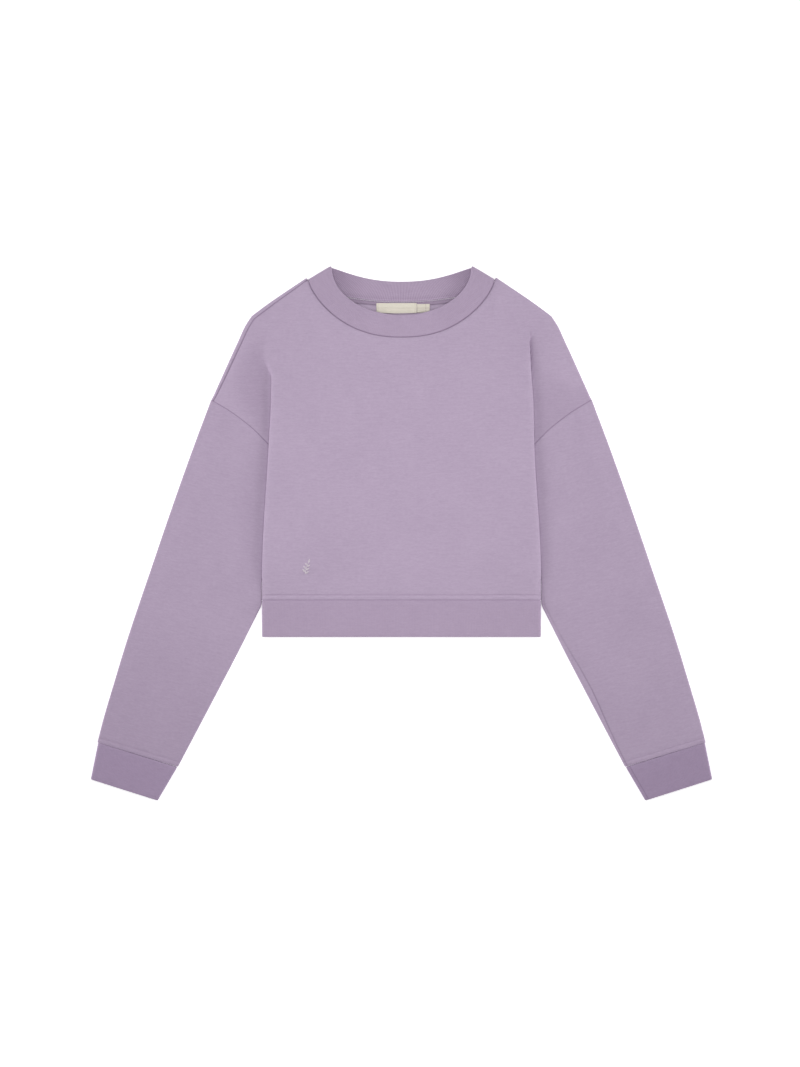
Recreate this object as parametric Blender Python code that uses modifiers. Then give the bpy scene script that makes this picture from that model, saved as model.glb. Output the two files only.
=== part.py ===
"""Cropped crew-neck sweatshirt, laid face up on a flat surface with its sleeves brought down."""
import math

import bmesh
import bpy
import numpy as np

# Metres. x runs to the viewer's right, y towards the neck, z up; the garment rests on z = 0.
# "out" is a distance from the centre line, the same on both sides, and "up" is y.
GARMENT = "cropped_sweatshirt"
JERSEY = 0.0015
RIB = 0.0028
SEAM_GAP = 0.0003

# Levels are of the middle of the cloth. Beside the body the sleeve lies inside the pleats, six layers deep.
BACK_LEVEL = JERSEY / 2
PLEAT_PITCH = 0.0022
TUCK_PITCH = 0.00235
STACK = PLEAT_PITCH + TUCK_PITCH
PRESSED_GAP = 0.0022
FREE_GAP = 0.0032
FULL_STACK = BACK_LEVEL + 2 * STACK + PRESSED_GAP
CENTRE_LEVEL = 0.0049
SLEEVE_SWELL = 0.0016

# Heights along the pleat's visible edge
HEM_UP = -0.0928
SLEEVE_EXIT_UP = -0.055
UNDERARM_UP = 0.0457
APEX_UP = 0.2632
PLEAT_FADE = 0.036
APEX_REACH = 0.008
LIFT_START = 0.004
LIFT_REACH = 0.062
CENTRE_RELAX = 0.080
LEAST_TUCK = 0.0020

# Pleat edge, where the front turns under: out, up
PLEAT_EDGE = (
    (0.1953, -0.0931),
    (0.1946, -0.0378),
    (0.1856, 0.1250),
    (0.1830, 0.2142),
    (0.1841, 0.2632),
    (0.1841, 0.3400),
)
# Side seam inside the pleats, from the underarm to where the sleeve leaves them: out, up
SIDE_SEAM = (
    (0.1140, 0.0457),
    (0.1370, 0.0100),
    (0.1610, -0.0250),
    (0.1810, -0.0500),
)
UNDERARM_CLEAR = 0.0030
# Armhole seam, from the overarm fold to the underarm: out, up
ARMHOLE = (
    (0.2653, 0.1869),
    (0.2401, 0.1716),
    (0.2150, 0.1529),
    (0.1858, 0.1249),
    (0.1520, 0.0880),
    (0.1140, 0.0457),
)
# Outline of the shoulder slope, neck to bend, and of the overarm, bend to armhole: out, up
SLOPE = ((0.1290, 0.3593), (0.1947, 0.3143), (0.2090, 0.3031))
OVERARM = ((0.2090, 0.3031), (0.2170, 0.2919), (0.2276, 0.2695), (0.2653, 0.1860))
EDGE_INSET = FREE_GAP / 2 + JERSEY / 2
WRAP_END = 0.0004
WRAP_MIDDLE = 0.0028
WRAP_TOP_UP = 0.3540

# Rows of the panels at the pleat edge: up, form of the edge, level of the front there
ROWS = (
    (HEM_UP, "side", 0.0076),
    (-0.0700, "side", 0.0101),
    (-0.0500, "seam", FULL_STACK),
    (-0.0250, "seam", FULL_STACK),
    (0.0100, "seam", FULL_STACK),
    (UNDERARM_UP, "pleat", None),
    (0.0850, "pleat", None),
    (0.1200, "pleat", None),
    (0.1550, "pleat", None),
    (0.1900, "pleat", None),
    (0.2150, "pleat", None),
    (0.2350, "pleat", None),
    (0.2500, "pleat", None),
    (0.2660, "pleat", None),
    (0.2920, "pleat", None),
    (0.3200, "pleat", None),
)
UNDERARM_ROW = 5
SHOULDER_COLUMNS = len(ARMHOLE) - 1
FOLD_SEGMENTS = 4
SECTION_POINTS = 2 * FOLD_SEGMENTS + 2
FLAT_STEP = 0.0012
SLOPE_COLUMNS = 2
NECK_COLUMNS = 7

# Neck lines: half width, top, drop, and the two powers that round them
NECK_LINES = {
    "front_seam": (0.1306, 0.3538, 0.0794, 2.3, 0.75),
    "front_edge": (0.0980, 0.3700, 0.0641, 2.0, 0.50),
    "back_seam": (0.1306, 0.3538, 0.0297, 2.0, 0.60),
    "back_edge": (0.0980, 0.3702, 0.0184, 2.6, 1.12),
}
NECK_FRONT_LEVEL = 0.0050
NECK_SEAM_CLEAR = 0.0007
NECK_CARRY = 1.5
TURN_SEGMENTS = 4
# The band's folded edge: depth in from the edge and half thickness there, as shares
BAND_EDGE = ((0.35, 1.0), (0.10, 0.6))
TAPE = {"half_length": 0.110, "width": 0.0050, "thickness": 0.0010, "below_seam": 0.0013, "columns": 16}
LABELS = (
    {"name": "neck_label", "left": -0.0351, "right": 0.0212, "top": 0.3221, "bottom": 0.3080, "columns": 4},
    {"name": "size_tab", "left": 0.0216, "right": 0.0396, "top": 0.3214, "bottom": 0.3092, "columns": 2},
)
LABEL_THICKNESS = 0.0010
LABEL_STEP = {"on_tape": 0.3172, "on_back": 0.3145}

# Sleeve and cuff: outline corners out, up
SLEEVE_OUTER = (
    (0.2655, 0.1869),
    (0.2725, 0.1688),
    (0.2768, 0.1575),
    (0.3074, 0.0735),
    (0.3508, -0.0525),
    (0.3858, -0.1575),
    (0.4252, -0.2921),
)
# The sleeve's inner edge has a ring of the sleeve at each point: out, up
SLEEVE_INNER = (
    (0.1170, 0.0490),
    (0.1410, 0.0100),
    (0.1665, -0.0250),
    (0.1885, -0.0500),
    (0.1980, -0.0660),
    (0.1970, -0.0840),
    (0.1969, -0.1050),
    (0.2256, -0.1600),
    (0.2537, -0.2140),
    (0.2832, -0.2700),
    (0.3129, -0.3262),
)
CUFF = {
    "outer_top": (0.4247, -0.2928),
    "inner_top": (0.3139, -0.3269),
    "outer_end": (0.4350, -0.3440),
    "inner_end": (0.3414, -0.3738),
}
CUFF_ROWS = (0.0, 0.5, 1.0)
CUFF_COLUMNS = 4
ARMHOLE_CLEAR = 0.00045
HEM = {"out": 0.1952, "top": -0.0931, "bottom": -0.1449}
HEM_ROWS = (0.0, 0.4, 0.75, 1.0)
HEM_COLUMNS = 12
RIB_LEVEL = RIB / 2
RIB_GAP = 0.0034
HEM_CORNER_LEVEL = 0.0076

MATERIALS = {
    "jersey": (0.467, 0.371, 0.503, 0.92),
    "jersey_sleeve": (0.440, 0.347, 0.474, 0.92),
    "rib": (0.405, 0.312, 0.434, 0.95),
    "label": (0.68, 0.64, 0.56, 0.80),
}


def smooth(t):
    t = min(1.0, max(0.0, t))
    return t * t * (3 - 2 * t)


def mix(a, b, t):
    return a + (b - a) * t


def at_height(table, up):
    points = sorted(table, key=lambda point: point[1])
    return float(np.interp(up, [p[1] for p in points], [p[0] for p in points]))


def rounded(points, steps=12):
    """A smooth line through a few points, as a dense one."""
    points = np.array(points, float)
    gaps = np.linalg.norm(np.diff(points, axis=0), axis=1)
    slopes = np.diff(points, axis=0) / gaps[:, None]
    tangents = [slopes[0]]
    for k in range(1, len(gaps)):
        share = gaps[k] / (gaps[k - 1] + gaps[k])
        tangents.append(mix(slopes[k], slopes[k - 1], share))
    tangents.append(slopes[-1])
    line = []
    for k, gap in enumerate(gaps):
        for step in range(steps):
            t = step / steps
            line.append((1 + 2 * t) * (1 - t) ** 2 * points[k] + t * (1 - t) ** 2 * gap * tangents[k]
                        + t ** 2 * (3 - 2 * t) * points[k + 1] + t ** 2 * (t - 1) * gap * tangents[k + 1])
    return np.array(line + [points[-1]])


def spaced(line, fractions):
    """Points at the given fractions of a line's length."""
    line = np.array(line, float)
    length = np.concatenate([[0], np.cumsum(np.linalg.norm(np.diff(line, axis=0), axis=1))])
    wanted = np.array(fractions) * length[-1]
    return np.column_stack([np.interp(wanted, length, line[:, k]) for k in range(line.shape[1])])


def moved(line, distance):
    """A line moved sideways, to the right of its direction where the distance is positive."""
    line = np.array(line, float)
    along = np.gradient(line, axis=0)
    along /= np.linalg.norm(along, axis=1)[:, None]
    distance = np.asarray(distance, float).reshape(-1, 1)
    return line + distance * np.column_stack([along[:, 1], -along[:, 0]])


def patch(bottom, top, left, right, across, along):
    """Points of a four-sided patch, each row from left to right."""
    bottom, top, left, right = (np.array(side, float) for side in (bottom, top, left, right))
    rows = []
    for i, v in enumerate(along):
        row = []
        for j, u in enumerate(across):
            corners = ((1 - u) * (1 - v) * bottom[0] + u * (1 - v) * bottom[-1]
                       + (1 - u) * v * top[0] + u * v * top[-1])
            row.append((1 - u) * left[i] + u * right[i] + (1 - v) * bottom[j] + v * top[j] - corners)
        rows.append(row)
    return rows


def pleat_opening(up):
    return smooth((APEX_UP + APEX_REACH - up) / PLEAT_FADE)


def pleat_inner(up):
    """The fold inside the pleat, from the underarm to the apex."""
    depth = at_height(PLEAT_EDGE, UNDERARM_UP) - ARMHOLE[-1][0]
    return at_height(PLEAT_EDGE, up) - depth * max(0.0, (APEX_UP - up) / (APEX_UP - UNDERARM_UP))


def stack_share(out, up):
    """1 where cloth lies on the full stack, falling to 0 away from the body's edge."""
    beside = max(0.0, out - at_height(PLEAT_EDGE, up) - LIFT_START)
    below = max(0.0, SLEEVE_EXIT_UP - up)
    return (1 - smooth(math.hypot(beside, below) / LIFT_REACH)) * pleat_opening(up)


def back_level(out, up):
    return BACK_LEVEL + STACK * stack_share(out, up)


def front_level(out, up):
    return back_level(out, up) + mix(FREE_GAP, PRESSED_GAP, stack_share(out, up))


def top_level(up):
    return front_level(0.0, up) + STACK * pleat_opening(up)


def arc_walk(place, heading, turn, radius, segments):
    """Points along an arc of chords, and where and how it ends."""
    points = []
    step = turn / segments
    for _ in range(segments):
        heading += step / 2
        chord = 2 * radius * math.sin(abs(step) / 2)
        place = (place[0] + chord * math.cos(heading), place[1] + chord * math.sin(heading))
        heading += step / 2
        points.append(place)
    return points, place, heading


def pleat_section(up, form, top):
    """The front's section at its edge, (out, level) from the top layer round to its sewn edge."""
    edge = at_height(PLEAT_EDGE, up)
    middle = (top + BACK_LEVEL) / 2
    if form == "side":
        radius = middle - BACK_LEVEL
        turn = math.acos(SEAM_GAP / 2 / radius) / (SECTION_POINTS - 1)
        start = edge - JERSEY / 2 - radius
        return [(start + radius * math.sin(k * turn), middle + radius * math.cos(k * turn))
                for k in range(SECTION_POINTS)]
    radius = PLEAT_PITCH / 2
    start = (edge - JERSEY / 2 - radius, top)
    outer_fold, place, heading = arc_walk(start, 0.0, -math.pi, radius, FOLD_SEGMENTS)
    if form == "seam":
        inner_radius = top - PLEAT_PITCH - middle
        inner = at_height(SIDE_SEAM, up) + inner_radius
        turn = math.acos(SEAM_GAP / 2 / inner_radius)
    else:
        inner_radius = TUCK_PITCH / 2
        inner = pleat_inner(up)
        turn = math.pi
    tuck = max(LEAST_TUCK, start[0] - inner)
    place = (place[0] - tuck, place[1])
    inner_fold = arc_walk(place, heading, turn, inner_radius, FOLD_SEGMENTS)[0]
    folded = [start] + outer_fold + [place] + inner_fold
    opening = pleat_opening(up)
    return [(mix(start[0] + k * FLAT_STEP, point[0], opening ** 3), mix(top, point[1], opening))
            for k, point in enumerate(folded)]


def neck_point(line, angle):
    half, top, drop, power, root = NECK_LINES[line]
    share = math.sin(angle)
    return (half * share, top - drop * (1 - share ** power) ** root)


def neck_line(line):
    """Points of a neck line from the shoulder to the centre."""
    return [neck_point(line, math.pi / 2 * (1 - k / NECK_COLUMNS)) for k in range(NECK_COLUMNS + 1)]


def wrap_length(up):
    """How far the shoulder seam lies from the fold, widest halfway along the shoulder."""
    share = min(1.0, max(0.0, (up - OVERARM[-1][1]) / (WRAP_TOP_UP - OVERARM[-1][1])))
    return WRAP_END + WRAP_MIDDLE * (4 * share * (1 - share)) ** 0.6


def shoulder_lines(seam_inside):
    """The panel's outline along the slope and the overarm, moved in to the fold or to the seam."""
    whole = np.vstack([rounded(SLOPE), rounded(OVERARM)[1:]])
    bend = len(rounded(SLOPE)) - 1
    inset = [EDGE_INSET + (SEAM_GAP + wrap_length(up) if seam_inside else 0) for _, up in whole]
    line = moved(whole, inset)
    return line[:bend + 1], line[bend:]


def neck_corner(slope, seam_line):
    """Where the neck seam, carried straight on, meets the shoulder slope."""
    start, end = np.array(seam_line[1]), np.array(seam_line[0])
    points = start + np.outer(np.linspace(0, NECK_CARRY, 301), end - start)
    below = np.interp(points[:, 0], *slope.T) - points[:, 1]
    return points[np.argmax(below <= 0)]


def half_panel(face, seam_inside):
    """Rows of (out, up, level) from the sewn edge to the centre line; None where there is no cloth."""
    slope, overarm = shoulder_lines(seam_inside)
    seam_line = neck_line("front_seam" if face > 0 else "back_seam")
    neck = [tuple(neck_corner(slope, seam_line))] + seam_line[1:]

    sections = []
    for up, form, top in ROWS:
        top = top_level(up) if top is None else top
        section = pleat_section(up, form, top)
        if face < 0:
            section = [(out, top + BACK_LEVEL - level) for out, level in section]
        sections.append((top, section))

    # The pleat column ends on the slope, where the last row lies.
    last_out = sections[-1][1][0][0]
    top_slope = [(out, np.interp(out, *slope.T)) for out in np.linspace(last_out, neck[0][0], SLOPE_COLUMNS + 1)]
    top_line = np.array(top_slope[:-1] + neck)
    shares = 1 - top_line[:, 0] / top_line[0][0]
    ups = [up for up, _, _ in ROWS[:-1]] + [top_line[0][1]]
    rise = [(up - HEM_UP) / (ups[-1] - HEM_UP) for up in ups]
    edge_line = [(section[0][0], up) for up, (_, section) in zip(ups, sections)]
    centre_line = [(0.0, mix(HEM_UP, top_line[-1][1], v)) for v in rise]
    hem_line = [(edge_line[0][0] * (1 - u), HEM_UP) for u in shares]
    middle = patch(hem_line, top_line, edge_line, centre_line, shares, rise)

    rows = []
    for i, (top, section) in enumerate(sections):
        row = []
        last = i == len(sections) - 1
        folded = [(out, float(np.interp(out, *slope.T)) if last else ups[i], level) for out, level in section]
        inner = min(out for out, _ in section)
        for out, y in middle[i][1:]:
            relax = smooth((inner - out) / CENTRE_RELAX)
            row.append((out, y, mix(top, CENTRE_LEVEL, relax) if face > 0 else BACK_LEVEL))
        rows.append(folded[::-1] + row)

    # The shoulder's outer part, from the armhole seam up to the slope.
    armhole = [np.array(p) for p in ARMHOLE]
    trim = (EDGE_INSET + (SEAM_GAP + WRAP_END if seam_inside else 0)) / np.linalg.norm(armhole[1] - armhole[0])
    armhole[0] = mix(armhole[0], armhole[1], trim)
    armhole[-1] = np.array(rows[UNDERARM_ROW][0][:2])
    levels = rise[UNDERARM_ROW:]
    along = [(v - levels[0]) / (levels[-1] - levels[0]) for v in levels]
    across = np.linspace(0, 1, SHOULDER_COLUMNS + 1)
    inner_line = [rows[i][0][:2] for i in range(UNDERARM_ROW, len(ROWS))]
    bend = slope[-1]
    top_outs = np.linspace(bend[0], inner_line[-1][0], SHOULDER_COLUMNS + 1)
    top_edge = [(out, np.interp(out, *slope.T)) for out in top_outs]
    outer_line = spaced(np.vstack([armhole[0], overarm[::-1][1:]]), along)
    outer = patch(armhole, top_edge, outer_line, inner_line, across, along)
    level_at = front_level if face > 0 else back_level
    for i in range(len(ROWS)):
        if i < UNDERARM_ROW:
            rows[i] = [None] * SHOULDER_COLUMNS + rows[i]
        else:
            points = [(out, up, level_at(out, up)) for out, up in outer[i - UNDERARM_ROW][:-1]]
            rows[i] = points + rows[i]
    return rows


def wrap_strip(rows, face):
    """Carries a panel round the shoulder fold to the seam on the other side."""
    columns = SHOULDER_COLUMNS + SECTION_POINTS - 1 + SLOPE_COLUMNS
    edge = [(i, 0, i, 1) for i in range(UNDERARM_ROW, len(rows) - 1)]
    edge.append((len(rows) - 1, 0, len(rows) - 2, 1))
    edge += [(len(rows) - 1, j, len(rows) - 2, j) for j in range(1, columns)]
    edge.append((len(rows) - 1, columns, len(rows) - 1, columns + 1))
    other_level = back_level if face > 0 else front_level
    strip = []
    for i, j, inner_i, inner_j in edge:
        here = np.array(rows[i][j])
        inward = np.array(rows[inner_i][inner_j][:2]) - here[:2]
        inward /= np.linalg.norm(inward)
        far = other_level(here[0], here[1])
        radius = abs(far - here[2]) / 2
        line = []
        for step in range(1, FOLD_SEGMENTS + 1):
            angle = math.pi * step / FOLD_SEGMENTS
            place = here[:2] - inward * radius * math.sin(angle)
            line.append((place[0], place[1], mix(here[2], far, (1 - math.cos(angle)) / 2)))
        place = here[:2] + inward * wrap_length(here[1])
        line.append((place[0], place[1], far))
        strip.append(((i, j), line))
    return strip


def new_object(name, mesh, material):
    obj = bpy.data.objects.new(name, mesh)
    bpy.data.collections[GARMENT].objects.link(obj)
    mesh.materials.append(material)
    mesh.shade_smooth()
    mesh.set_sharp_from_angle(angle=math.radians(50))
    return obj


def thicken(obj, thickness):
    shell = obj.modifiers.new("cloth", "SOLIDIFY")
    shell.thickness = thickness
    shell.offset = 0
    shell.use_even_offset = False


def panel(name, face, wraps, material):
    """A whole panel. wraps names the side whose shoulder fold it is carried over."""
    mesh = bpy.data.meshes.new(name)
    bm = bmesh.new()
    halves = {side: half_panel(face, wraps != side) for side in (-1, 1)}
    centre = [bm.verts.new((0.0, row[-1][1], row[-1][2])) for row in halves[-1]]
    for side, rows in halves.items():
        verts = [[p and bm.verts.new((side * p[0], p[1], p[2])) for p in row[:-1]] + [middle]
                 for row, middle in zip(rows, centre)]
        for low, high in zip(verts, verts[1:]):
            for j in range(len(low) - 1):
                corners = (low[j], low[j + 1], high[j + 1], high[j])
                if all(corners):
                    bm.faces.new(corners)
        if wraps == side:
            strip = [(verts[i][j], [bm.verts.new((side * x, y, z)) for x, y, z in line])
                     for (i, j), line in wrap_strip(rows, face)]
            for (edge_a, line_a), (edge_b, line_b) in zip(strip, strip[1:]):
                line_a, line_b = [edge_a] + line_a, [edge_b] + line_b
                for k in range(len(line_a) - 1):
                    bm.faces.new((line_a[k], line_b[k], line_b[k + 1], line_a[k + 1]))
    bmesh.ops.recalc_face_normals(bm, faces=bm.faces)
    bm.to_mesh(mesh)
    bm.free()
    obj = new_object(name, mesh, material)
    thicken(obj, JERSEY)
    return obj


def tube(name, rings, material, thickness):
    """A flattened tube from rings of points, open at both ends."""
    mesh = bpy.data.meshes.new(name)
    bm = bmesh.new()
    loops = [[bm.verts.new(point) for point in ring] for ring in rings]
    for low, high in zip(loops, loops[1:]):
        for k in range(len(low)):
            following = (k + 1) % len(low)
            bm.faces.new((low[k], low[following], high[following], high[k]))
    bmesh.ops.recalc_face_normals(bm, faces=bm.faces)
    bm.to_mesh(mesh)
    bm.free()
    obj = new_object(name, mesh, material)
    thicken(obj, thickness)
    return obj


def flat_ring(points, lower, upper):
    """A ring round a flattened tube: over the upper layer, round the fold and back along the lower one.

    points run across the tube from one fold's centre to the other's; lower and upper are the levels
    of the two layers at each of them.
    """
    points = [np.array(p, float) for p in points]
    ring = [(*p, level) for p, level in zip(points, upper)]
    for end, outwards, levels in (
        (points[-1], points[-1] - points[-2], (upper[-1], lower[-1])),
        (points[0], points[0] - points[1], (lower[0], upper[0])),
    ):
        outwards = outwards / np.linalg.norm(outwards)
        radius = abs(levels[0] - levels[1]) / 2
        for step in range(1, FOLD_SEGMENTS):
            angle = math.pi * step / FOLD_SEGMENTS
            place = end + outwards * radius * math.sin(angle)
            ring.append((*place, mix(levels[0], levels[1], (1 - math.cos(angle)) / 2)))
        if end is points[-1]:
            ring += [(*p, level) for p, level in zip(points[::-1], lower[::-1])]
    return ring


def sleeve(name, side, material):
    seam = moved(ARMHOLE, -ARMHOLE_CLEAR)
    cuff_seam = np.array([mix(np.array(SLEEVE_OUTER[-1]), np.array(SLEEVE_INNER[-1]), u)
                          for u in np.linspace(0, 1, SHOULDER_COLUMNS + 1)])
    inner = np.array(SLEEVE_INNER)
    length = np.concatenate([[0], np.cumsum(np.linalg.norm(np.diff(inner, axis=0), axis=1))])
    shares = length / length[-1]
    outer = spaced(SLEEVE_OUTER, shares)
    seam[0] = outer[0] + (seam[0] - np.array(ARMHOLE[0]))
    outer[0] = seam[0]
    length = np.linalg.norm(seam[-1] - seam[-2])
    seam[-1] = mix(seam[-1], seam[-2], UNDERARM_CLEAR / length)
    inner[0] = seam[-1]
    across = np.linspace(0, 1, SHOULDER_COLUMNS + 1)
    rows = patch(seam, cuff_seam, outer, inner, across, shares)
    rings = []
    for v, row in zip(shares, rows):
        row = [np.array(p) for p in row]
        for end, following in ((0, 1), (-1, -2)):
            inset = front_level(*row[end]) - back_level(*row[end])
            inset = inset / 2 + JERSEY / 2
            row[end] = mix(row[end], row[following], inset / np.linalg.norm(row[following] - row[end]))
        lower = [back_level(*p) for p in row]
        upper = [front_level(*p) + SLEEVE_SWELL * math.sin(math.pi * u) * math.sin(math.pi * v) ** 0.7
                 * (1 - stack_share(*p)) for p, u in zip(row, across)]
        rings.append(flat_ring([(side * p[0], p[1]) for p in row], lower, upper))
    return tube(name, rings, material, JERSEY)


def cuff(name, side, material):
    corner = {key: np.array(value) for key, value in CUFF.items()}
    rings = []
    inset = RIB_GAP / 2 + RIB / 2
    for v in CUFF_ROWS:
        outer = mix(corner["outer_top"], corner["outer_end"], v)
        inner = mix(corner["inner_top"], corner["inner_end"], v)
        across = (inner - outer) / np.linalg.norm(inner - outer)
        points = spaced([outer + across * inset, inner - across * inset], np.linspace(0, 1, CUFF_COLUMNS + 1))
        lower = [RIB_LEVEL] * len(points)
        upper = [RIB_LEVEL + RIB_GAP] * len(points)
        rings.append(flat_ring([(side * p[0], p[1]) for p in points], lower, upper))
    return tube(name, rings, material, RIB)


def hem_band(material):
    rings = []
    for v in HEM_ROWS:
        up = mix(HEM["top"], HEM["bottom"], v)
        corner_level = mix(HEM_CORNER_LEVEL, RIB_LEVEL + RIB_GAP, smooth(v))
        edge = HEM["out"] - RIB / 2 - (corner_level - RIB_LEVEL) / 2
        points = [(out, up) for out in np.linspace(-edge, edge, HEM_COLUMNS + 1)]
        centre = mix(CENTRE_LEVEL, RIB_LEVEL + RIB_GAP, v)
        upper = [mix(corner_level, centre, smooth((edge - abs(out)) / CENTRE_RELAX)) for out, _ in points]
        rings.append(flat_ring(points, [RIB_LEVEL] * len(points), upper))
    return tube("hem_band", rings, material, RIB)


def neck_stations():
    """Stations round the neckband: inner point, outer point and the way its outer face looks."""
    radius = (NECK_FRONT_LEVEL - RIB_LEVEL) / 2
    halves = {}
    for face in ("front", "back"):
        outer = moved(neck_line(face + "_seam"), NECK_SEAM_CLEAR)
        inner = np.array(neck_line(face + "_edge"))
        halves[face] = (inner, outer)
    turn_inner = halves["front"][0][0]
    turn_outer = halves["front"][1][0]
    fold = (turn_outer - turn_inner) / np.linalg.norm(turn_outer - turn_inner)
    away = np.array([-fold[1], fold[0]])
    stations = []
    front_in, front_out = halves["front"]
    back_in, back_out = halves["back"]
    flip = np.array([-1.0, 1.0])

    def lay(side_in, side_out, level, up):
        stations.append(((*side_in, level), (*side_out, level), (0.0, 0.0, up)))

    def turn(side, first_level, last_level):
        middle = (first_level + last_level) / 2
        swing = 1 if first_level > last_level else -1
        for step in range(1, TURN_SEGMENTS):
            angle = math.pi * step / TURN_SEGMENTS
            shift = away * radius * math.sin(angle)
            level = middle + swing * radius * math.cos(angle)
            facing = (side * away[0] * math.sin(angle), away[1] * math.sin(angle), swing * math.cos(angle))
            scale = np.array([side, 1.0])
            stations.append(((*((turn_inner + shift) * scale), level),
                             (*((turn_outer + shift) * scale), level), facing))

    for k in range(NECK_COLUMNS, -1, -1):
        lay(front_in[k], front_out[k], NECK_FRONT_LEVEL, 1.0)
    turn(1, NECK_FRONT_LEVEL, RIB_LEVEL)
    for k in range(NECK_COLUMNS + 1):
        lay(back_in[k], back_out[k], RIB_LEVEL, -1.0)
    for k in range(NECK_COLUMNS - 1, -1, -1):
        lay(back_in[k] * flip, back_out[k] * flip, RIB_LEVEL, -1.0)
    turn(-1, RIB_LEVEL, NECK_FRONT_LEVEL)
    for k in range(NECK_COLUMNS):
        lay(front_in[k] * flip, front_out[k] * flip, NECK_FRONT_LEVEL, 1.0)
    return stations


def neck_band(material):
    """The neckband, a closed ring of flat sections rounded at the folded inner edge."""
    mesh = bpy.data.meshes.new("neck_band")
    bm = bmesh.new()
    loops = []
    for inner, outer, facing in neck_stations():
        inner, outer, facing = np.array(inner), np.array(outer), np.array(facing)
        across = (outer - inner) / np.linalg.norm(outer - inner)
        thick = facing * RIB / 2
        upper = [inner + across * RIB * depth + thick * share for depth, share in BAND_EDGE]
        lower = [inner + across * RIB * depth - thick * share for depth, share in BAND_EDGE]
        section = [outer + thick] + upper + lower[::-1] + [outer - thick]
        loops.append([bm.verts.new(point) for point in section])
    for low, high in zip(loops, loops[1:] + loops[:1]):
        for k in range(len(low)):
            following = (k + 1) % len(low)
            bm.faces.new((low[k], low[following], high[following], high[k]))
    bmesh.ops.recalc_face_normals(bm, faces=bm.faces)
    bm.to_mesh(mesh)
    bm.free()
    return new_object("neck_band", mesh, material)


def laid_strip(name, lines, material, thickness):
    """A thin piece lying on the back panel: lines of (x, y, level of its middle) along it."""
    mesh = bpy.data.meshes.new(name)
    bm = bmesh.new()
    grid = [[bm.verts.new(point) for point in line] for line in lines]
    for low, high in zip(grid, grid[1:]):
        for k in range(len(low) - 1):
            bm.faces.new((low[k], low[k + 1], high[k + 1], high[k]))
    bmesh.ops.recalc_face_normals(bm, faces=bm.faces)
    bm.to_mesh(mesh)
    bm.free()
    obj = new_object(name, mesh, material)
    thicken(obj, thickness)
    return obj


def neck_tape(material):
    half = NECK_LINES["back_seam"][0]
    level = JERSEY + SEAM_GAP + TAPE["thickness"] / 2
    lines = []
    for share in (0.0, 1.0):
        line = []
        for out in np.linspace(-TAPE["half_length"], TAPE["half_length"], TAPE["columns"] + 1):
            _, up = neck_point("back_seam", math.asin(abs(out) / half))
            line.append((out, up - TAPE["below_seam"] - share * TAPE["width"], level))
        lines.append(line)
    return laid_strip("neck_tape", lines, material, TAPE["thickness"])


def neck_labels(material):
    """The labels are sewn over the tape and hang down from it onto the back."""
    tape_top = JERSEY + SEAM_GAP + TAPE["thickness"]
    high = tape_top + SEAM_GAP + LABEL_THICKNESS / 2
    low = JERSEY + SEAM_GAP + LABEL_THICKNESS / 2
    for label in LABELS:
        ups = (label["top"], LABEL_STEP["on_tape"], LABEL_STEP["on_back"], label["bottom"])
        lines = [[(x, up, level) for x in np.linspace(label["left"], label["right"], label["columns"] + 1)]
                 for up, level in zip(ups, (high, high, low, low))]
        laid_strip(label["name"], lines, material, LABEL_THICKNESS)


def cloth_material(name):
    red, green, blue, roughness = MATERIALS[name]
    material = bpy.data.materials.new(name)
    material.use_nodes = True
    shader = material.node_tree.nodes["Principled BSDF"]
    shader.inputs["Base Color"].default_value = (red, green, blue, 1.0)
    shader.inputs["Roughness"].default_value = roughness
    shader.inputs["Metallic"].default_value = 0.0
    return material


def main():
    for obj in list(bpy.data.objects):
        bpy.data.objects.remove(obj, do_unlink=True)
    bpy.context.scene.collection.children.link(bpy.data.collections.new(GARMENT))
    left, right = -1, 1
    panel("front_panel", 1, right, cloth_material("jersey"))
    panel("back_panel", -1, left, cloth_material("jersey"))
    sleeve("sleeve_left", left, cloth_material("jersey_sleeve"))
    sleeve("sleeve_right", right, cloth_material("jersey_sleeve"))
    cuff("cuff_left", left, cloth_material("rib"))
    cuff("cuff_right", right, cloth_material("rib"))
    hem_band(cloth_material("rib"))
    neck_band(cloth_material("rib"))
    neck_tape(cloth_material("jersey"))
    neck_labels(cloth_material("label"))


main()
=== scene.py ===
# Cropped crew-neck sweatshirt, laid face up with its sleeves brought down beside the body.
import math

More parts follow.
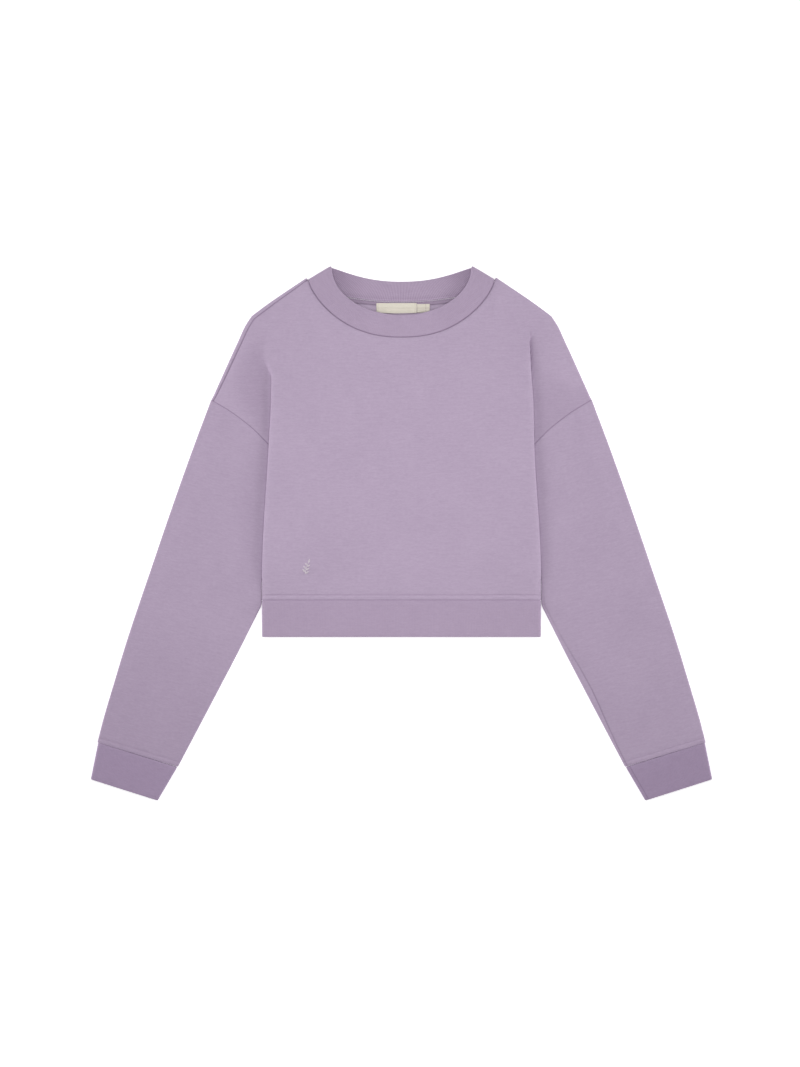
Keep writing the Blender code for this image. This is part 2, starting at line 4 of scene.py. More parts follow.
import bpy
import numpy as np
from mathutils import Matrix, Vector


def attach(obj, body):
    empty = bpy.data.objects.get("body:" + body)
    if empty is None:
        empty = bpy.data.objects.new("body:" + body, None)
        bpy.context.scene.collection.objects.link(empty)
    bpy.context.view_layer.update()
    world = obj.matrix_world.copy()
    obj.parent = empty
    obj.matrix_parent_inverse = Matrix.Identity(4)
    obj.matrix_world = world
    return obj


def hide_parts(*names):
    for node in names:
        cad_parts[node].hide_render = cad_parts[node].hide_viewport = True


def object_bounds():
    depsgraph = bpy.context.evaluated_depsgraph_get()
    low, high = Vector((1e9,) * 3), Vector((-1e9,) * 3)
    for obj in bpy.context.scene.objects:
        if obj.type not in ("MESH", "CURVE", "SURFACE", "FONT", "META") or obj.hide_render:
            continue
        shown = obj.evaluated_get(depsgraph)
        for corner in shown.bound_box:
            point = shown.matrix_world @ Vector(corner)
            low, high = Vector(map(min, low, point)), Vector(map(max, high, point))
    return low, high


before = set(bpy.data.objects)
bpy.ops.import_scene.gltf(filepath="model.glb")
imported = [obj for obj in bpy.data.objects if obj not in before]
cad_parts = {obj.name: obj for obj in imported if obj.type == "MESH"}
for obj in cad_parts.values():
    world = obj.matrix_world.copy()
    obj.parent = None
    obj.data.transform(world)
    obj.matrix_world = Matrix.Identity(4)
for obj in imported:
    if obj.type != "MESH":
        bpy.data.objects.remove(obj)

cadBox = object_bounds()
left, right = -1, 1
sides = {"left": left, "right": right}

# Metres throughout. "out" is the distance from the centre line, "up" runs from hem to neck,
# and a level is the height of the middle of the cloth above the floor.

camera = {"lens": 85.0, "height": 3.53, "shiftX": -0.0021, "shiftY": 0.0009}
floor = {"size": 14.0, "tone": (0.93, 0.93, 0.93, 1.0), "roughness": 0.9, "glow": 0.42}
lights = {
    "overhead": {"place": (0.0, 0.14, 0.92), "size": 0.9, "power": 4.35},
    "sideLeft": {"place": (-2.9, 0.16, 0.74), "size": 1.2, "power": 43.0},
    "sideRight": {"place": (2.9, 0.16, 0.74), "size": 1.2, "power": 43.0},
}
sky = {"tone": (1.0, 1.0, 1.0, 1.0), "strength": 0.415}


def boxMiddle():
    low, high = cadBox
    return (low + high) / 2


def placeCamera():
    middle = boxMiddle()
    bpy.ops.object.select_all(action="DESELECT")
    spot = (middle.x + camera["shiftX"], middle.y + camera["shiftY"], camera["height"])
    bpy.ops.object.camera_add(location=spot, rotation=(0.0, 0.0, 0.0))
    cam = bpy.context.object
    cam.name = "camera"
    cam.data.lens = camera["lens"]
    cam.data.clip_end = 60.0
    bpy.context.scene.camera = cam


def placeFloor():
    bpy.ops.object.select_all(action="DESELECT")
    bpy.ops.mesh.primitive_plane_add(size=floor["size"], location=(0.0, 0.0, 0.0))
    plane = bpy.context.object
    plane.name = "floor"
    material = bpy.data.materials.new("paleFloor")
    material.use_nodes = True
    shader = material.node_tree.nodes["Principled BSDF"]
    shader.inputs["Base Color"].default_value = floor["tone"]
    shader.inputs["Roughness"].default_value = floor["roughness"]
    shader.inputs["Emission Color"].default_value = (1.0, 1.0, 1.0, 1.0)
    shader.inputs["Emission Strength"].default_value = floor["glow"]
    plane.data.materials.append(material)


def placeLights():
    aim = boxMiddle()
    for name, light in lights.items():
        bpy.ops.object.select_all(action="DESELECT")
        bpy.ops.object.light_add(type="AREA", location=light["place"])
        lamp = bpy.context.object
        lamp.name = name
        lamp.data.shape = "DISK"
        lamp.data.size = light["size"]
        lamp.data.energy = light["power"]
        lamp.visible_camera = False
        towards = aim - Vector(light["place"])
        lamp.rotation_euler = towards.to_track_quat("-Z", "Y").to_euler()
    world = bpy.data.worlds.new("softSky")
    world.use_nodes = True
    shader = world.node_tree.nodes["Background"]
    shader.inputs["Color"].default_value = sky["tone"]
    shader.inputs["Strength"].default_value = sky["strength"]
    bpy.context.scene.world = world
    bpy.context.scene.view_settings.view_transform = "Standard"


placeCamera()
placeFloor()
placeLights()
print("camera, floor and lights placed")


def smoothStep(t):
    t = np.clip(t, 0.0, 1.0)
    return t * t * (3 - 2 * t)


def mix(a, b, t):
    return a + (b - a) * t


def bump(distance, width):
    return np.exp(-(distance / width) ** 2)


def roundedLine(points, steps=12):
    # a smooth line through a few points, as a dense one
    points = np.array(points, float)
    gaps = np.linalg.norm(np.diff(points, axis=0), axis=1)
    slopes = np.diff(points, axis=0) / gaps[:, None]
    tangents = [slopes[0]]
    for k in range(1, len(gaps)):
        tangents.append(mix(slopes[k], slopes[k - 1], gaps[k] / (gaps[k - 1] + gaps[k])))
    tangents.append(slopes[-1])
    line = []
    for k, gap in enumerate(gaps):
        for t in np.arange(steps) / steps:
            line.append((1 + 2 * t) * (1 - t) ** 2 * points[k] + t * (1 - t) ** 2 * gap * tangents[k]
                        + t ** 2 * (3 - 2 * t) * points[k + 1] + t ** 2 * (t - 1) * gap * tangents[k + 1])
    return np.array(line + [points[-1]])


def unit(vectors):
    return vectors / np.linalg.norm(vectors, axis=-1, keepdims=True)


def columnsAt(table, wanted):
    # the columns of a table, read at values of its first one
    return [np.interp(wanted, table[:, 0], column) for column in table[:, 1:].T]


def readAt(wanted, gone, line):
    # places on a line at distances along it
    return np.stack([np.interp(wanted, gone, column) for column in line.T], axis=-1)


def outAt(line, up):
    return np.interp(up, line[:, 1], line[:, 0])


def upAt(line, out):
    return np.interp(out, line[:, 0], line[:, 1])


def walked(points, axis=0):
    # the distance gone along a line of points, or along every line of a grid
    steps = np.linalg.norm(np.diff(points, axis=axis), axis=-1)
    start = np.zeros_like(np.take(steps, [0], axis=axis))
    return np.concatenate([start, np.cumsum(steps, axis=axis)], axis=axis)


def spacedLine(line, shares):
    # points at the given shares of a line's length
    length = walked(line)
    return readAt(np.asarray(shares) * length[-1], length, line)


def movedLine(line, distance):
    # a line moved sideways, to the right of its direction
    along = unit(np.gradient(line, axis=0))
    return line + np.reshape(distance, (-1, 1)) * np.column_stack([along[:, 1], -along[:, 0]])


def fourSided(bottom, top, start, end, across, along):
    # rows of points that fill four lines
    u, v = across[None, :, None], along[:, None, None]
    corners = ((1 - u) * (1 - v) * bottom[0] + u * (1 - v) * bottom[-1]
               + (1 - u) * v * top[0] + u * v * top[-1])
    return (1 - u) * start[:, None] + u * end[:, None] + (1 - v) * bottom[None] + v * top[None] - corners


def steppedLength(length, step, first, last):
    # places along a length: close together at its ends, even between
    first, last = np.array(first), length - np.array(last)[::-1]
    count = max(2, int(round((last[0] - first[-1]) / step)))
    middle = np.linspace(first[-1], last[0], count + 1)[1:-1]
    return np.concatenate([first, middle, last])


cloth = {"jersey": 0.0015, "rib": 0.0028, "seamGap": 0.0003}
levels = {
    "back": 0.00075,        # back panel on the floor
    "pleatPitch": 0.0022,   # one fold of the pleat over the next
    "tuckPitch": 0.00235,
    "pressed": 0.0022,      # two layers pressed together under the pleat
    "free": 0.0032,         # and away from it
    "centre": 0.0049,       # front panel along the centre line
    "hemCorner": 0.0076,
    "rib": 0.0014,
    "ribGap": 0.0034,
    "neckFront": 0.0050,
}
stack = levels["pleatPitch"] + levels["tuckPitch"]
pleat = {
    "edge": {
        left: ((0.1953, -0.0931), (0.1946, -0.0378), (0.1856, 0.1250), (0.1824, 0.1950), (0.1830, 0.2280),
               (0.1868, 0.2456), (0.1892, 0.2600), (0.1880, 0.2800), (0.1850, 0.3000), (0.1841, 0.3400)),
        right: ((0.1953, -0.0931), (0.1946, -0.0378), (0.1856, 0.1250), (0.1842, 0.1850),
                (0.1812, 0.2273), (0.1798, 0.2554), (0.1794, 0.2750), (0.1800, 0.3400)),
    },
    "apexUp": {left: 0.2560, right: 0.2800},
    "steepness": {left: 0.36, right: 0.80},    # how soon the fold begins under the shoulder
    "quickening": {left: 0.90, right: 0.0},
    "levelFade": {left: 0.100, right: 0.085},
    "flatWidth": {left: 0.0160, right: 0.0100},
    "exitUp": -0.0550,
    "exitAbove": 0.005,
    "exitFade": 0.020,
    "cornerUp": -0.0500,
    "levelAbove": 0.040,
    "smoothing": 0.006,
    "underarmFade": 0.012,
    "foldTurn": 0.3,            # the turn, in radians, where a slope becomes a fold
    "liftStart": 0.004,
    "liftReach": 0.062,
    "relax": 0.120,
    "leastTuck": 0.0020,
}
armhole = ((0.2661, 0.1873), (0.2401, 0.1716), (0.2150, 0.1529), (0.1858, 0.1249),
           (0.1520, 0.0880), (0.1140, 0.0457))
sideSeam = ((0.1140, 0.0457), (0.1370, 0.0100), (0.1610, -0.0250), (0.1810, -0.0500))
shoulder = {
    "slope": ((0.1290, 0.3607), (0.1947, 0.3158), (0.2099, 0.3043)),
    "overarm": ((0.2099, 0.3043), (0.2178, 0.2923), (0.2284, 0.2697), (0.2661, 0.1864)),
    "inset": levels["free"] / 2 + cloth["jersey"] / 2,
    "wrapEnd": 0.0004,
    "wrapMiddle": 0.0028,
    "wrapTop": 0.3540,
    "wrapPower": 0.6,
    "wrapTurn": 0.012,
}
hemUp = -0.0928
underarmUp = 0.0457
# Neck lines: half width, top, drop, and the two powers that round them
neckLines = {
    "frontSeam": (0.1300, 0.3528, 0.0784, 2.3, 0.75),
    "frontEdge": (0.0974, 0.3718, 0.0659, 2.0, 0.50),
    "backSeam": (0.1300, 0.3528, 0.0287, 2.0, 0.60),
    "backEdge": (0.0974, 0.3720, 0.0192, 2.25, 1.20),
}
pleatEdgeLines = {side: roundedLine(pleat["edge"][side]) for side in (left, right)}
sideSeamLine = roundedLine(sideSeam)[::-1]
armholeLine = roundedLine(armhole)


def edgeOut(side, up):
    return outAt(pleatEdgeLines[side], up)


def levelShare(side, up):
    # the lift of the pleat's layers, which dies away above the fold
    return smoothStep((pleat["apexUp"][side] + pleat["levelAbove"] - up) / pleat["levelFade"][side])


def pleatInner(side, up):
    depth = edgeOut(side, underarmUp) - armhole[-1][0]
    apex = pleat["apexUp"][side]
    return edgeOut(side, up) - depth * np.maximum(0.0, (apex - up) / (apex - underarmUp))


def stackShare(side, out, up):
    # 1 where cloth lies on all the pleat's layers, 0 away from the body's edge
    beside = np.maximum(0.0, out - edgeOut(side, up) - pleat["liftStart"])
    below = np.maximum(0.0, pleat["exitUp"] - up)
    return (1 - smoothStep(np.hypot(beside, below) / pleat["liftReach"])) * levelShare(side, up)


def backLevel(side, out, up):
    return levels["back"] + stack * stackShare(side, out, up)


def frontLevel(side, out, up):
    share = stackShare(side, out, up)
    return levels["back"] + stack * share + mix(levels["free"], levels["pressed"], share)


def topLevel(side, up):
    return frontLevel(side, 0.0, up) + stack * levelShare(side, up)


def arcWalk(place, heading, turn, radius, segments):
    # points along an arc, and where and how it ends
    points = []
    step = turn / segments
    for _ in range(segments):
        heading += step / 2
        chord = 2 * radius * math.sin(abs(step) / 2)
        place = (place[0] + chord * math.cos(heading), place[1] + chord * math.sin(heading))
        heading += step / 2
        points.append(place)
    return points, place, heading


def neckPoint(line, angle):
    half, top, drop, power, root = neckLines[line]
    share = math.sin(angle)
    return half * share, top - drop * (1 - share ** power) ** root


def neckLine(line, columns):
    # from the shoulder to the centre
    return np.array([neckPoint(line, math.pi / 2 * (1 - k / columns)) for k in range(columns + 1)])


# how far shoulder and sleeve puff up between the pleat and the outer fold: up, height
puffHeights = ((-0.300, 0.0008), (-0.200, 0.0022), (-0.060, 0.0030), (0.050, 0.0040), (0.120, 0.0052),
               (0.200, 0.0052), (0.250, 0.0036), (0.300, 0.0000))
puff = {"inner": 0.034, "outer": 0.030, "outerPower": 0.8,
        "innerLean": 0.93, "outerLean": 0.92, "slopeLean": 0.83}    # how the edges lean
sleeveOuter = ((0.2663, 0.1873), (0.2730, 0.1692), (0.2774, 0.1577), (0.3082, 0.0735), (0.3516, -0.0525),
               (0.3868, -0.1575), (0.4030, -0.2110), (0.4183, -0.2630), (0.4257, -0.2921))
sleeveInner = ((0.1170, 0.0490), (0.1410, 0.0100), (0.1665, -0.0250), (0.1870, -0.0500),
               (0.1948, -0.0640), (0.1956, -0.0800), (0.1956, -0.0930), (0.1958, -0.0990),
               (0.2006, -0.1098), (0.2092, -0.1270), (0.2256, -0.1600), (0.2537, -0.2140),
               (0.2832, -0.2700), (0.3129, -0.3262))
puffLine = roundedLine(puffHeights)
outerEdge = np.vstack([roundedLine(shoulder["overarm"]), roundedLine(sleeveOuter)[1:]])[::-1]
innerEdge = roundedLine(sleeveInner)[::-1]
slopeLine = roundedLine(shoulder["slope"])


def puffAt(side, out, up):
    height = np.interp(up, puffLine[:, 0], puffLine[:, 1])
    sleeveEdge = outAt(innerEdge, up)
    inner = np.maximum(edgeOut(side, up), np.where(up < sleeveInner[0][1], sleeveEdge, 0.0))
    fromInner = (out - inner) * puff["innerLean"]
    fromOuter = (outAt(outerEdge, up) - out) * puff["outerLean"]
    fromSlope = (upAt(slopeLine, out) - up) * puff["slopeLean"]
    fromOuter = np.where(up > shoulder["slope"][-1][1], fromSlope, fromOuter)
    rise = smoothStep(fromInner / puff["inner"])
    return height * rise * smoothStep(fromOuter / puff["outer"]) ** puff["outerPower"]


# slow waves in the cloth: how fast they run across and up, where they start, and how high
waves = ((31, 17, 1.7, 1.0), (-23, 41, 5.01, 1.0), (57, -29, 6.97, 0.7), (83, 67, 1.19, 0.5))
resting = {"wave": 0.00018, "clear": 0.0012, "fade": 0.004, "creaseEnd": 0.4}


def ripple(x, y):
    wave = sum(high * np.sin(across * x + upwards * y + start) for across, upwards, start, high in waves)
    return wave / sum(row[-1] for row in waves)


def creaseDepth(x, y):
    # soft troughs, or ridges where the depth is negative, shallower at their ends
    depth = np.zeros_like(x)
    for (ax, ay), (bx, by), width, amount in restingCreases:
        runX, runY = bx - ax, by - ay
        along = np.clip(((x - ax) * runX + (y - ay) * runY) / (runX ** 2 + runY ** 2), 0, 1)
        gap = np.hypot(x - ax - along * runX, y - ay - along * runY)
        depth += amount * bump(gap, width) * mix(np.sqrt(np.sin(math.pi * along)), 1, resting["creaseEnd"])
    return depth


def choose(obj, *others):
    bpy.ops.object.select_all(action="DESELECT")
    for one in (obj, *others):
        one.select_set(True)
    bpy.context.view_layer.objects.active = obj


def editMesh(obj, *steps):
    # runs mesh tools, each on the whole of one piece
    choose(obj)
    bpy.ops.object.mode_set(mode="EDIT")
    for step in steps:
        bpy.ops.mesh.select_all(action="SELECT")
        step()
    bpy.ops.object.mode_set(mode="OBJECT")


def weld(threshold):
    return lambda: bpy.ops.mesh.remove_doubles(threshold=threshold)


def faceOut():
    bpy.ops.mesh.normals_make_consistent(inside=False)


def gridPiece(name, points, flat, shade, absent=None):
    # a grid laid out by the points; flat gives each point's place on the flat cloth
    rows, columns = points.shape[:2]
    bpy.ops.mesh.primitive_grid_add(x_subdivisions=columns - 1, y_subdivisions=rows - 1, size=1.0)
    obj = bpy.context.object
    obj.name = name
    finishPoints(obj, points.reshape(-1, 3), flat.reshape(-1, 2), shade.reshape(-1))
    if absent is not None:
        bpy.context.tool_settings.mesh_select_mode = (False, False, True)
        obj.data.polygons.foreach_set("select", absent.reshape(-1))
        bpy.ops.object.mode_set(mode="EDIT")
        bpy.ops.mesh.delete(type="FACE")
        bpy.ops.object.mode_set(mode="OBJECT")
    return obj


def finishPoints(obj, points, flat, shade):
    mesh = obj.data
    obj.location = (0.0, 0.0, 0.0)
    mesh.vertices.foreach_set("co", np.ascontiguousarray(points, float).reshape(-1))
    corner = np.zeros(len(mesh.loops), int)
    mesh.loops.foreach_get("vertex_index", corner)
    layer = mesh.uv_layers.active or mesh.uv_layers.new(name="UVMap")
    layer.name = "grain"
    layer.data.foreach_set("uv", np.ascontiguousarray(flat[corner], float).reshape(-1))
    # painted shade of seams, folds and hollows, and painted light where it is negative
    tone = mesh.attributes.new("paintedShade", "FLOAT", "POINT")
    tone.data.foreach_set("value", np.ascontiguousarray(shade, float))
    mesh.update()


def ringPiece(name, points, flat, shade):
    # a closed ring of closed sections: a grid rolled up both ways and merged where it meets itself
    points = np.pad(points, ((0, 1), (0, 1), (0, 0)), mode="wrap")
    shade = np.pad(shade, ((0, 1), (0, 1)), mode="wrap")
    flat = np.concatenate([flat, 2 * flat[-1:] - flat[-2:-1]], axis=0)
    flat = np.concatenate([flat, 2 * flat[:, -1:] - flat[:, -2:-1]], axis=1)
    obj = gridPiece(name, points, flat, shade)
    editMesh(obj, weld(0.000001))
    turnOutwards(obj)
    return obj


def keepAbove(points, least=0.0):
    # nothing sinks below the floor
    points[..., 2] = np.maximum(points[..., 2], least)


def readPoints(mesh, what="co"):
    values = np.zeros(len(mesh.vertices) * 3)
    mesh.vertices.foreach_get(what, values)
    return values.reshape(-1, 3)


def shellVolume(mesh):
    places = readPoints(mesh)
    mesh.calc_loop_triangles()
    tris = np.zeros(len(mesh.loop_triangles) * 3, int)
    mesh.loop_triangles.foreach_get("vertices", tris)
    a, b, c = (places[tris.reshape(-1, 3)[:, k]] for k in range(3))
    return float(np.einsum("ij,ij->i", a, np.cross(b, c)).sum() / 6)


def turnOutwards(obj):
    if shellVolume(obj.data) < 0:
        editMesh(obj, lambda: bpy.ops.mesh.flip_normals())


def joinPieces(first, second, merge):
    choose(first, second)
    bpy.ops.object.join()
    editMesh(first, weld(merge), faceOut)


def giveThickness(obj, thickness):
    choose(obj)
    wall = obj.modifiers.new("cloth", "SOLIDIFY")
    wall.thickness = thickness
    wall.offset = 0.0
    wall.use_even_offset = False
    bpy.ops.object.modifier_apply(modifier=wall.name)


def finishShading(obj, material, angle=50):
    choose(obj)
    bpy.ops.object.shade_smooth_by_angle(angle=math.radians(angle))
    obj.data.materials.clear()
    obj.data.materials.append(material)
    obj.data.name = obj.name


def outwardNormals(points):
    # normals of a tube given as stations by rows, turned away from the middle of each section
    around = np.roll(points, -1, axis=0) - np.roll(points, 1, axis=0)
    normal = np.cross(around, np.gradient(points, axis=1))
    normal /= np.maximum(np.linalg.norm(normal, axis=2, keepdims=True), 1e-12)
    middle = points.mean(axis=0, keepdims=True)
    if np.sum((points - middle) * normal) < 0:
        normal = -normal
    return normal


def newGroup(name, inputs, outputs):
    # an input is given by its first value, or by its kind where it is no number
    group = bpy.data.node_groups.new(name, "ShaderNodeTree")
    for label, value in inputs.items():
        kind = value if isinstance(value, str) else "Float"
        socket = group.interface.new_socket(name=label, in_out="INPUT", socket_type="NodeSocket" + kind)
        if kind == "Float":
            socket.default_value = value
    for label, kind in outputs.items():
        group.interface.new_socket(name=label, in_out="OUTPUT", socket_type="NodeSocket" + kind)
    start = group.nodes.new("NodeGroupInput")
    end = group.nodes.new("NodeGroupOutput")
    return group, start, end


def addNode(tree, kind, values=None, **settings):
    node = tree.nodes.new(kind)
    for key, value in settings.items():
        setattr(node, key, value)
    for key, value in (values or {}).items():
        if isinstance(value, bpy.types.NodeSocket):
            tree.links.new(value, node.inputs[key])
        else:
            node.inputs[key].default_value = value
    return node


def mathsIn(tree):
    # a short way to write one tree's sums
    def calc(operation, *values):
        return addNode(tree, "ShaderNodeMath", dict(enumerate(values)), operation=operation).outputs[0]

    return calc


def noise(tree, vector, scale, detail=2.0, roughness=0.5):
    values = {"Vector": vector, "Scale": scale, "Detail": detail, "Roughness": roughness}
    return addNode(tree, "ShaderNodeTexNoise", values).outputs[0]


knitLoop = {"drift": 420.0, "slant": 0.75, "roundness": 3.0, "hollow": 0.55}
dye = {"streak": (60.0, 330.0, 1.0), "fleck": (230.0, 520.0, 1.0), "cloud": 14.0, "fuzz": 2600.0}


def buildKnitGroup():
    # columns of small v-shaped loops: height and how much light they hold back
    group, start, end = newGroup("knitLoops", {"Grain": "Vector", "Wale": 0.0009, "Course": 0.0007},
                                 {"Height": "Float", "Shade": "Float"})
    calc = mathsIn(group)
    split = addNode(group, "ShaderNodeSeparateXYZ", {0: start.outputs["Grain"]})
    drift = calc("MULTIPLY", noise(group, start.outputs["Grain"], knitLoop["drift"], 1.0), 0.35)
    across = calc("ADD", calc("DIVIDE", split.outputs[0], start.outputs["Wale"]), drift)
    share = calc("FRACT", across)
    fromMiddle = calc("MULTIPLY", calc("ABSOLUTE", calc("SUBTRACT", share, 0.5)), 2.0)
    along = calc("DIVIDE", split.outputs[1], start.outputs["Course"])
    slant = calc("MULTIPLY_ADD", fromMiddle, knitLoop["slant"], along)
    loop = calc("SINE", calc("MULTIPLY", slant, 2 * math.pi))
    loop = calc("MULTIPLY_ADD", loop, 0.5, 0.5)
    rounded = calc("SUBTRACT", 1.0, calc("POWER", fromMiddle, knitLoop["roundness"]))
    hollow = knitLoop["hollow"]
    height = calc("MULTIPLY", calc("MULTIPLY_ADD", loop, hollow, 1 - hollow), rounded)
    group.links.new(height, end.inputs["Height"])
    group.links.new(calc("SUBTRACT", 1.0, height), end.inputs["Shade"])
    return group


def buildMottleGroup():
    # the faint streaks of dyed cotton, longer across the cloth than along it, and slow cloudiness
    group, start, end = newGroup("dyedCotton", {"Grain": "Vector", "Streak": 1.0, "Cloud": 1.0},
                                 {"Tone": "Float", "Fuzz": "Float"})
    calc = mathsIn(group)
    grain = start.outputs["Grain"]
    long, short = (addNode(group, "ShaderNodeMapping", {"Vector": grain, "Scale": dye[name]}).outputs[0]
                   for name in ("streak", "fleck"))
    parts = ((noise(group, long, 1.0, 3.0, 0.6), "Streak"), (noise(group, short, 1.0), "Streak"),
             (noise(group, grain, dye["cloud"]), "Cloud"))
    first, second, third = (calc("MULTIPLY", calc("SUBTRACT", part, 0.5), start.outputs[share])
                            for part, share in parts)
    tone = calc("ADD", calc("ADD", first, second), third)
    group.links.new(calc("ADD", tone, 0.5), end.inputs["Tone"])
    group.links.new(noise(group, grain, dye["fuzz"]), end.inputs["Fuzz"])
    return group


def buildShadePaintGroup():
    # cloth rolls in towards a seam and holds shade there; this mixes that painted shade, and the other
    # painted shade and light, into the cloth's colour
    inputs = {"Tone": "Color", "Shade": 0.0, "Depth": 0.35}
    group, start, end = newGroup("shadePaint", inputs, {"Tone": "Color"})
    calc = mathsIn(group)
    amount = calc("MULTIPLY", start.outputs["Shade"], start.outputs["Depth"])
    # the painted shade takes more green than red and blue, so lilac cloth grows richer in it, as in light
    # bounced in its folds
    keeps = [calc("MULTIPLY_ADD", amount, -share, 1.0) for share in (1.0, 1.10, 0.97)]
    grey = addNode(group, "ShaderNodeCombineColor", dict(enumerate(keeps)))
    blend = addNode(group, "ShaderNodeMix", {"Factor": 1.0}, data_type="RGBA", blend_type="MULTIPLY")
    group.links.new(start.outputs["Tone"], blend.inputs[6])
    group.links.new(grey.outputs[0], blend.inputs[7])
    group.links.new(blend.outputs[2], end.inputs["Tone"])
    return group


knitGroup = buildKnitGroup()
mottleGroup = buildMottleGroup()
shadePaintGroup = buildShadePaintGroup()

knitColumns = ("wale", "course", "height", "sheen", "streak", "cloud")
knitTable = {
    "jersey": (0.00095, 0.00075, 0.00010, 0.10, 1.1, 0.5),
    "rib": (0.00072, 0.00080, 0.00008, 0.10, 0.9, 0.4),
    "tape": (0.00060, 0.00120, 0.00010, 0.05, 0.8, 0.2),
    "label": (0.00045, 0.00030, 0.00004, 0.02, 0.7, 0.3),
    "thread": (0.00040, 0.00040, 0.00004, 0.05, 0.4, 0.1),
    "fine": (0.00030, 0.00030, 0.00003, 0.05, 0.4, 0.1),
}
knits = {name: dict(zip(knitColumns, row)) for name, row in knitTable.items()}
finishes = {
    "jersey": {"knit": "jersey", "deep": (0.401, 0.315, 0.436), "light": (0.475, 0.379, 0.510)},
    # the sleeves' jersey and the cuffs' rib are the body's jersey and the hem's rib painted darker, as
    # painted shade for the weaker light out on the sleeves
    "shadedSleeveJersey": {"knit": "jersey", "deep": (0.385, 0.301, 0.419), "light": (0.456, 0.363, 0.491)},
    "hemRib": {"knit": "rib", "deep": (0.379, 0.293, 0.412), "light": (0.447, 0.351, 0.479)},
    "neckRib": {"knit": "rib", "deep": (0.385, 0.299, 0.417), "light": (0.452, 0.356, 0.484)},
    "shadedCuffRib": {"knit": "rib", "deep": (0.324, 0.245, 0.365), "light": (0.386, 0.295, 0.430)},
    "tape": {"knit": "tape", "deep": (0.322, 0.247, 0.348), "light": (0.385, 0.299, 0.411)},
    "label": {"knit": "label", "deep": (0.646, 0.600, 0.508), "light": (0.761, 0.720, 0.631)},
    "thread": {"knit": "thread", "deep": (0.350, 0.268, 0.382), "light": (0.450, 0.355, 0.482)},
    "paleThread": {"knit": "fine", "deep": (0.560, 0.500, 0.560), "light": (0.700, 0.640, 0.690)},
}
cotton = {"knitShade": -0.30, "balance": 0.15, "shadePaintDepth": 0.62, "rough": 0.84, "fuzzRough": 0.12,
          "fuzzHeight": 0.35, "relief": 0.7, "sheenRough": 0.5, "specular": 0.25}


def makeCloth(name):
    finish = finishes[name]
    knitted = knits[finish["knit"]]
    material = bpy.data.materials.new(name)
    material.use_nodes = True
    tree = material.node_tree
    calc = mathsIn(tree)
    grain = addNode(tree, "ShaderNodeUVMap", uv_map="grain").outputs[0]
    knit = addNode(tree, "ShaderNodeGroup", {}, node_tree=knitGroup)
    mottle = addNode(tree, "ShaderNodeGroup", {}, node_tree=mottleGroup)
    for node, keys in ((knit, ("wale", "course")), (mottle, ("streak", "cloud"))):
        tree.links.new(grain, node.inputs["Grain"])
        for key in keys:
            node.inputs[key.title()].default_value = knitted[key]
    shaded = calc("MULTIPLY_ADD", knit.outputs["Shade"], cotton["knitShade"], mottle.outputs["Tone"])
    shaded = calc("ADD", shaded, cotton["balance"])
    colour = addNode(tree, "ShaderNodeMix", {"Factor": shaded, 6: (*finish["deep"], 1.0),
                                             7: (*finish["light"], 1.0)}, data_type="RGBA")
    # the painted shade and light carried by each point darken or lighten the colour
    mark = addNode(tree, "ShaderNodeAttribute", attribute_name="paintedShade")
    fold = addNode(tree, "ShaderNodeGroup", {}, node_tree=shadePaintGroup)
    tree.links.new(colour.outputs[2], fold.inputs["Tone"])
    tree.links.new(mark.outputs["Fac"], fold.inputs["Shade"])
    fold.inputs["Depth"].default_value = cotton["shadePaintDepth"]
    rough = calc("MULTIPLY_ADD", mottle.outputs["Fuzz"], cotton["fuzzRough"], cotton["rough"])
    height = calc("MULTIPLY_ADD", mottle.outputs["Fuzz"], cotton["fuzzHeight"], knit.outputs["Height"])
    relief = addNode(tree, "ShaderNodeBump", {"Height": height, "Strength": cotton["relief"],
                                              "Distance": knitted["height"]})
    shader = tree.nodes["Principled BSDF"]
    tree.links.new(fold.outputs["Tone"], shader.inputs["Base Color"])
    tree.links.new(rough, shader.inputs["Roughness"])
    tree.links.new(relief.outputs[0], shader.inputs["Normal"])
    shader.inputs["Sheen Weight"].default_value = knitted["sheen"]
    shader.inputs["Sheen Roughness"].default_value = cotton["sheenRough"]
    shader.inputs["Specular IOR Level"].default_value = cotton["specular"]
    return material


materials = {name: makeCloth(name) for name in finishes}
print("cloth materials made")


seam = {"roll": 0.0009, "width": 0.0026, "shadeWidth": 0.0015}
leastShade = -0.3       # the most light that a seam or a rim may add
# painted shade in the seams' grooves, over the real roll of the cloth; the cuff's negative value is painted
# light
paintedSeamShade = {"neck": 0.52, "armhole": 0.90, "shoulder": 0.80, "hem": 0.18, "cuff": -0.25}
armholeFade = {"outer": 0.262, "width": 0.075, "least": 0.70, "shadeWidth": 0.0012}
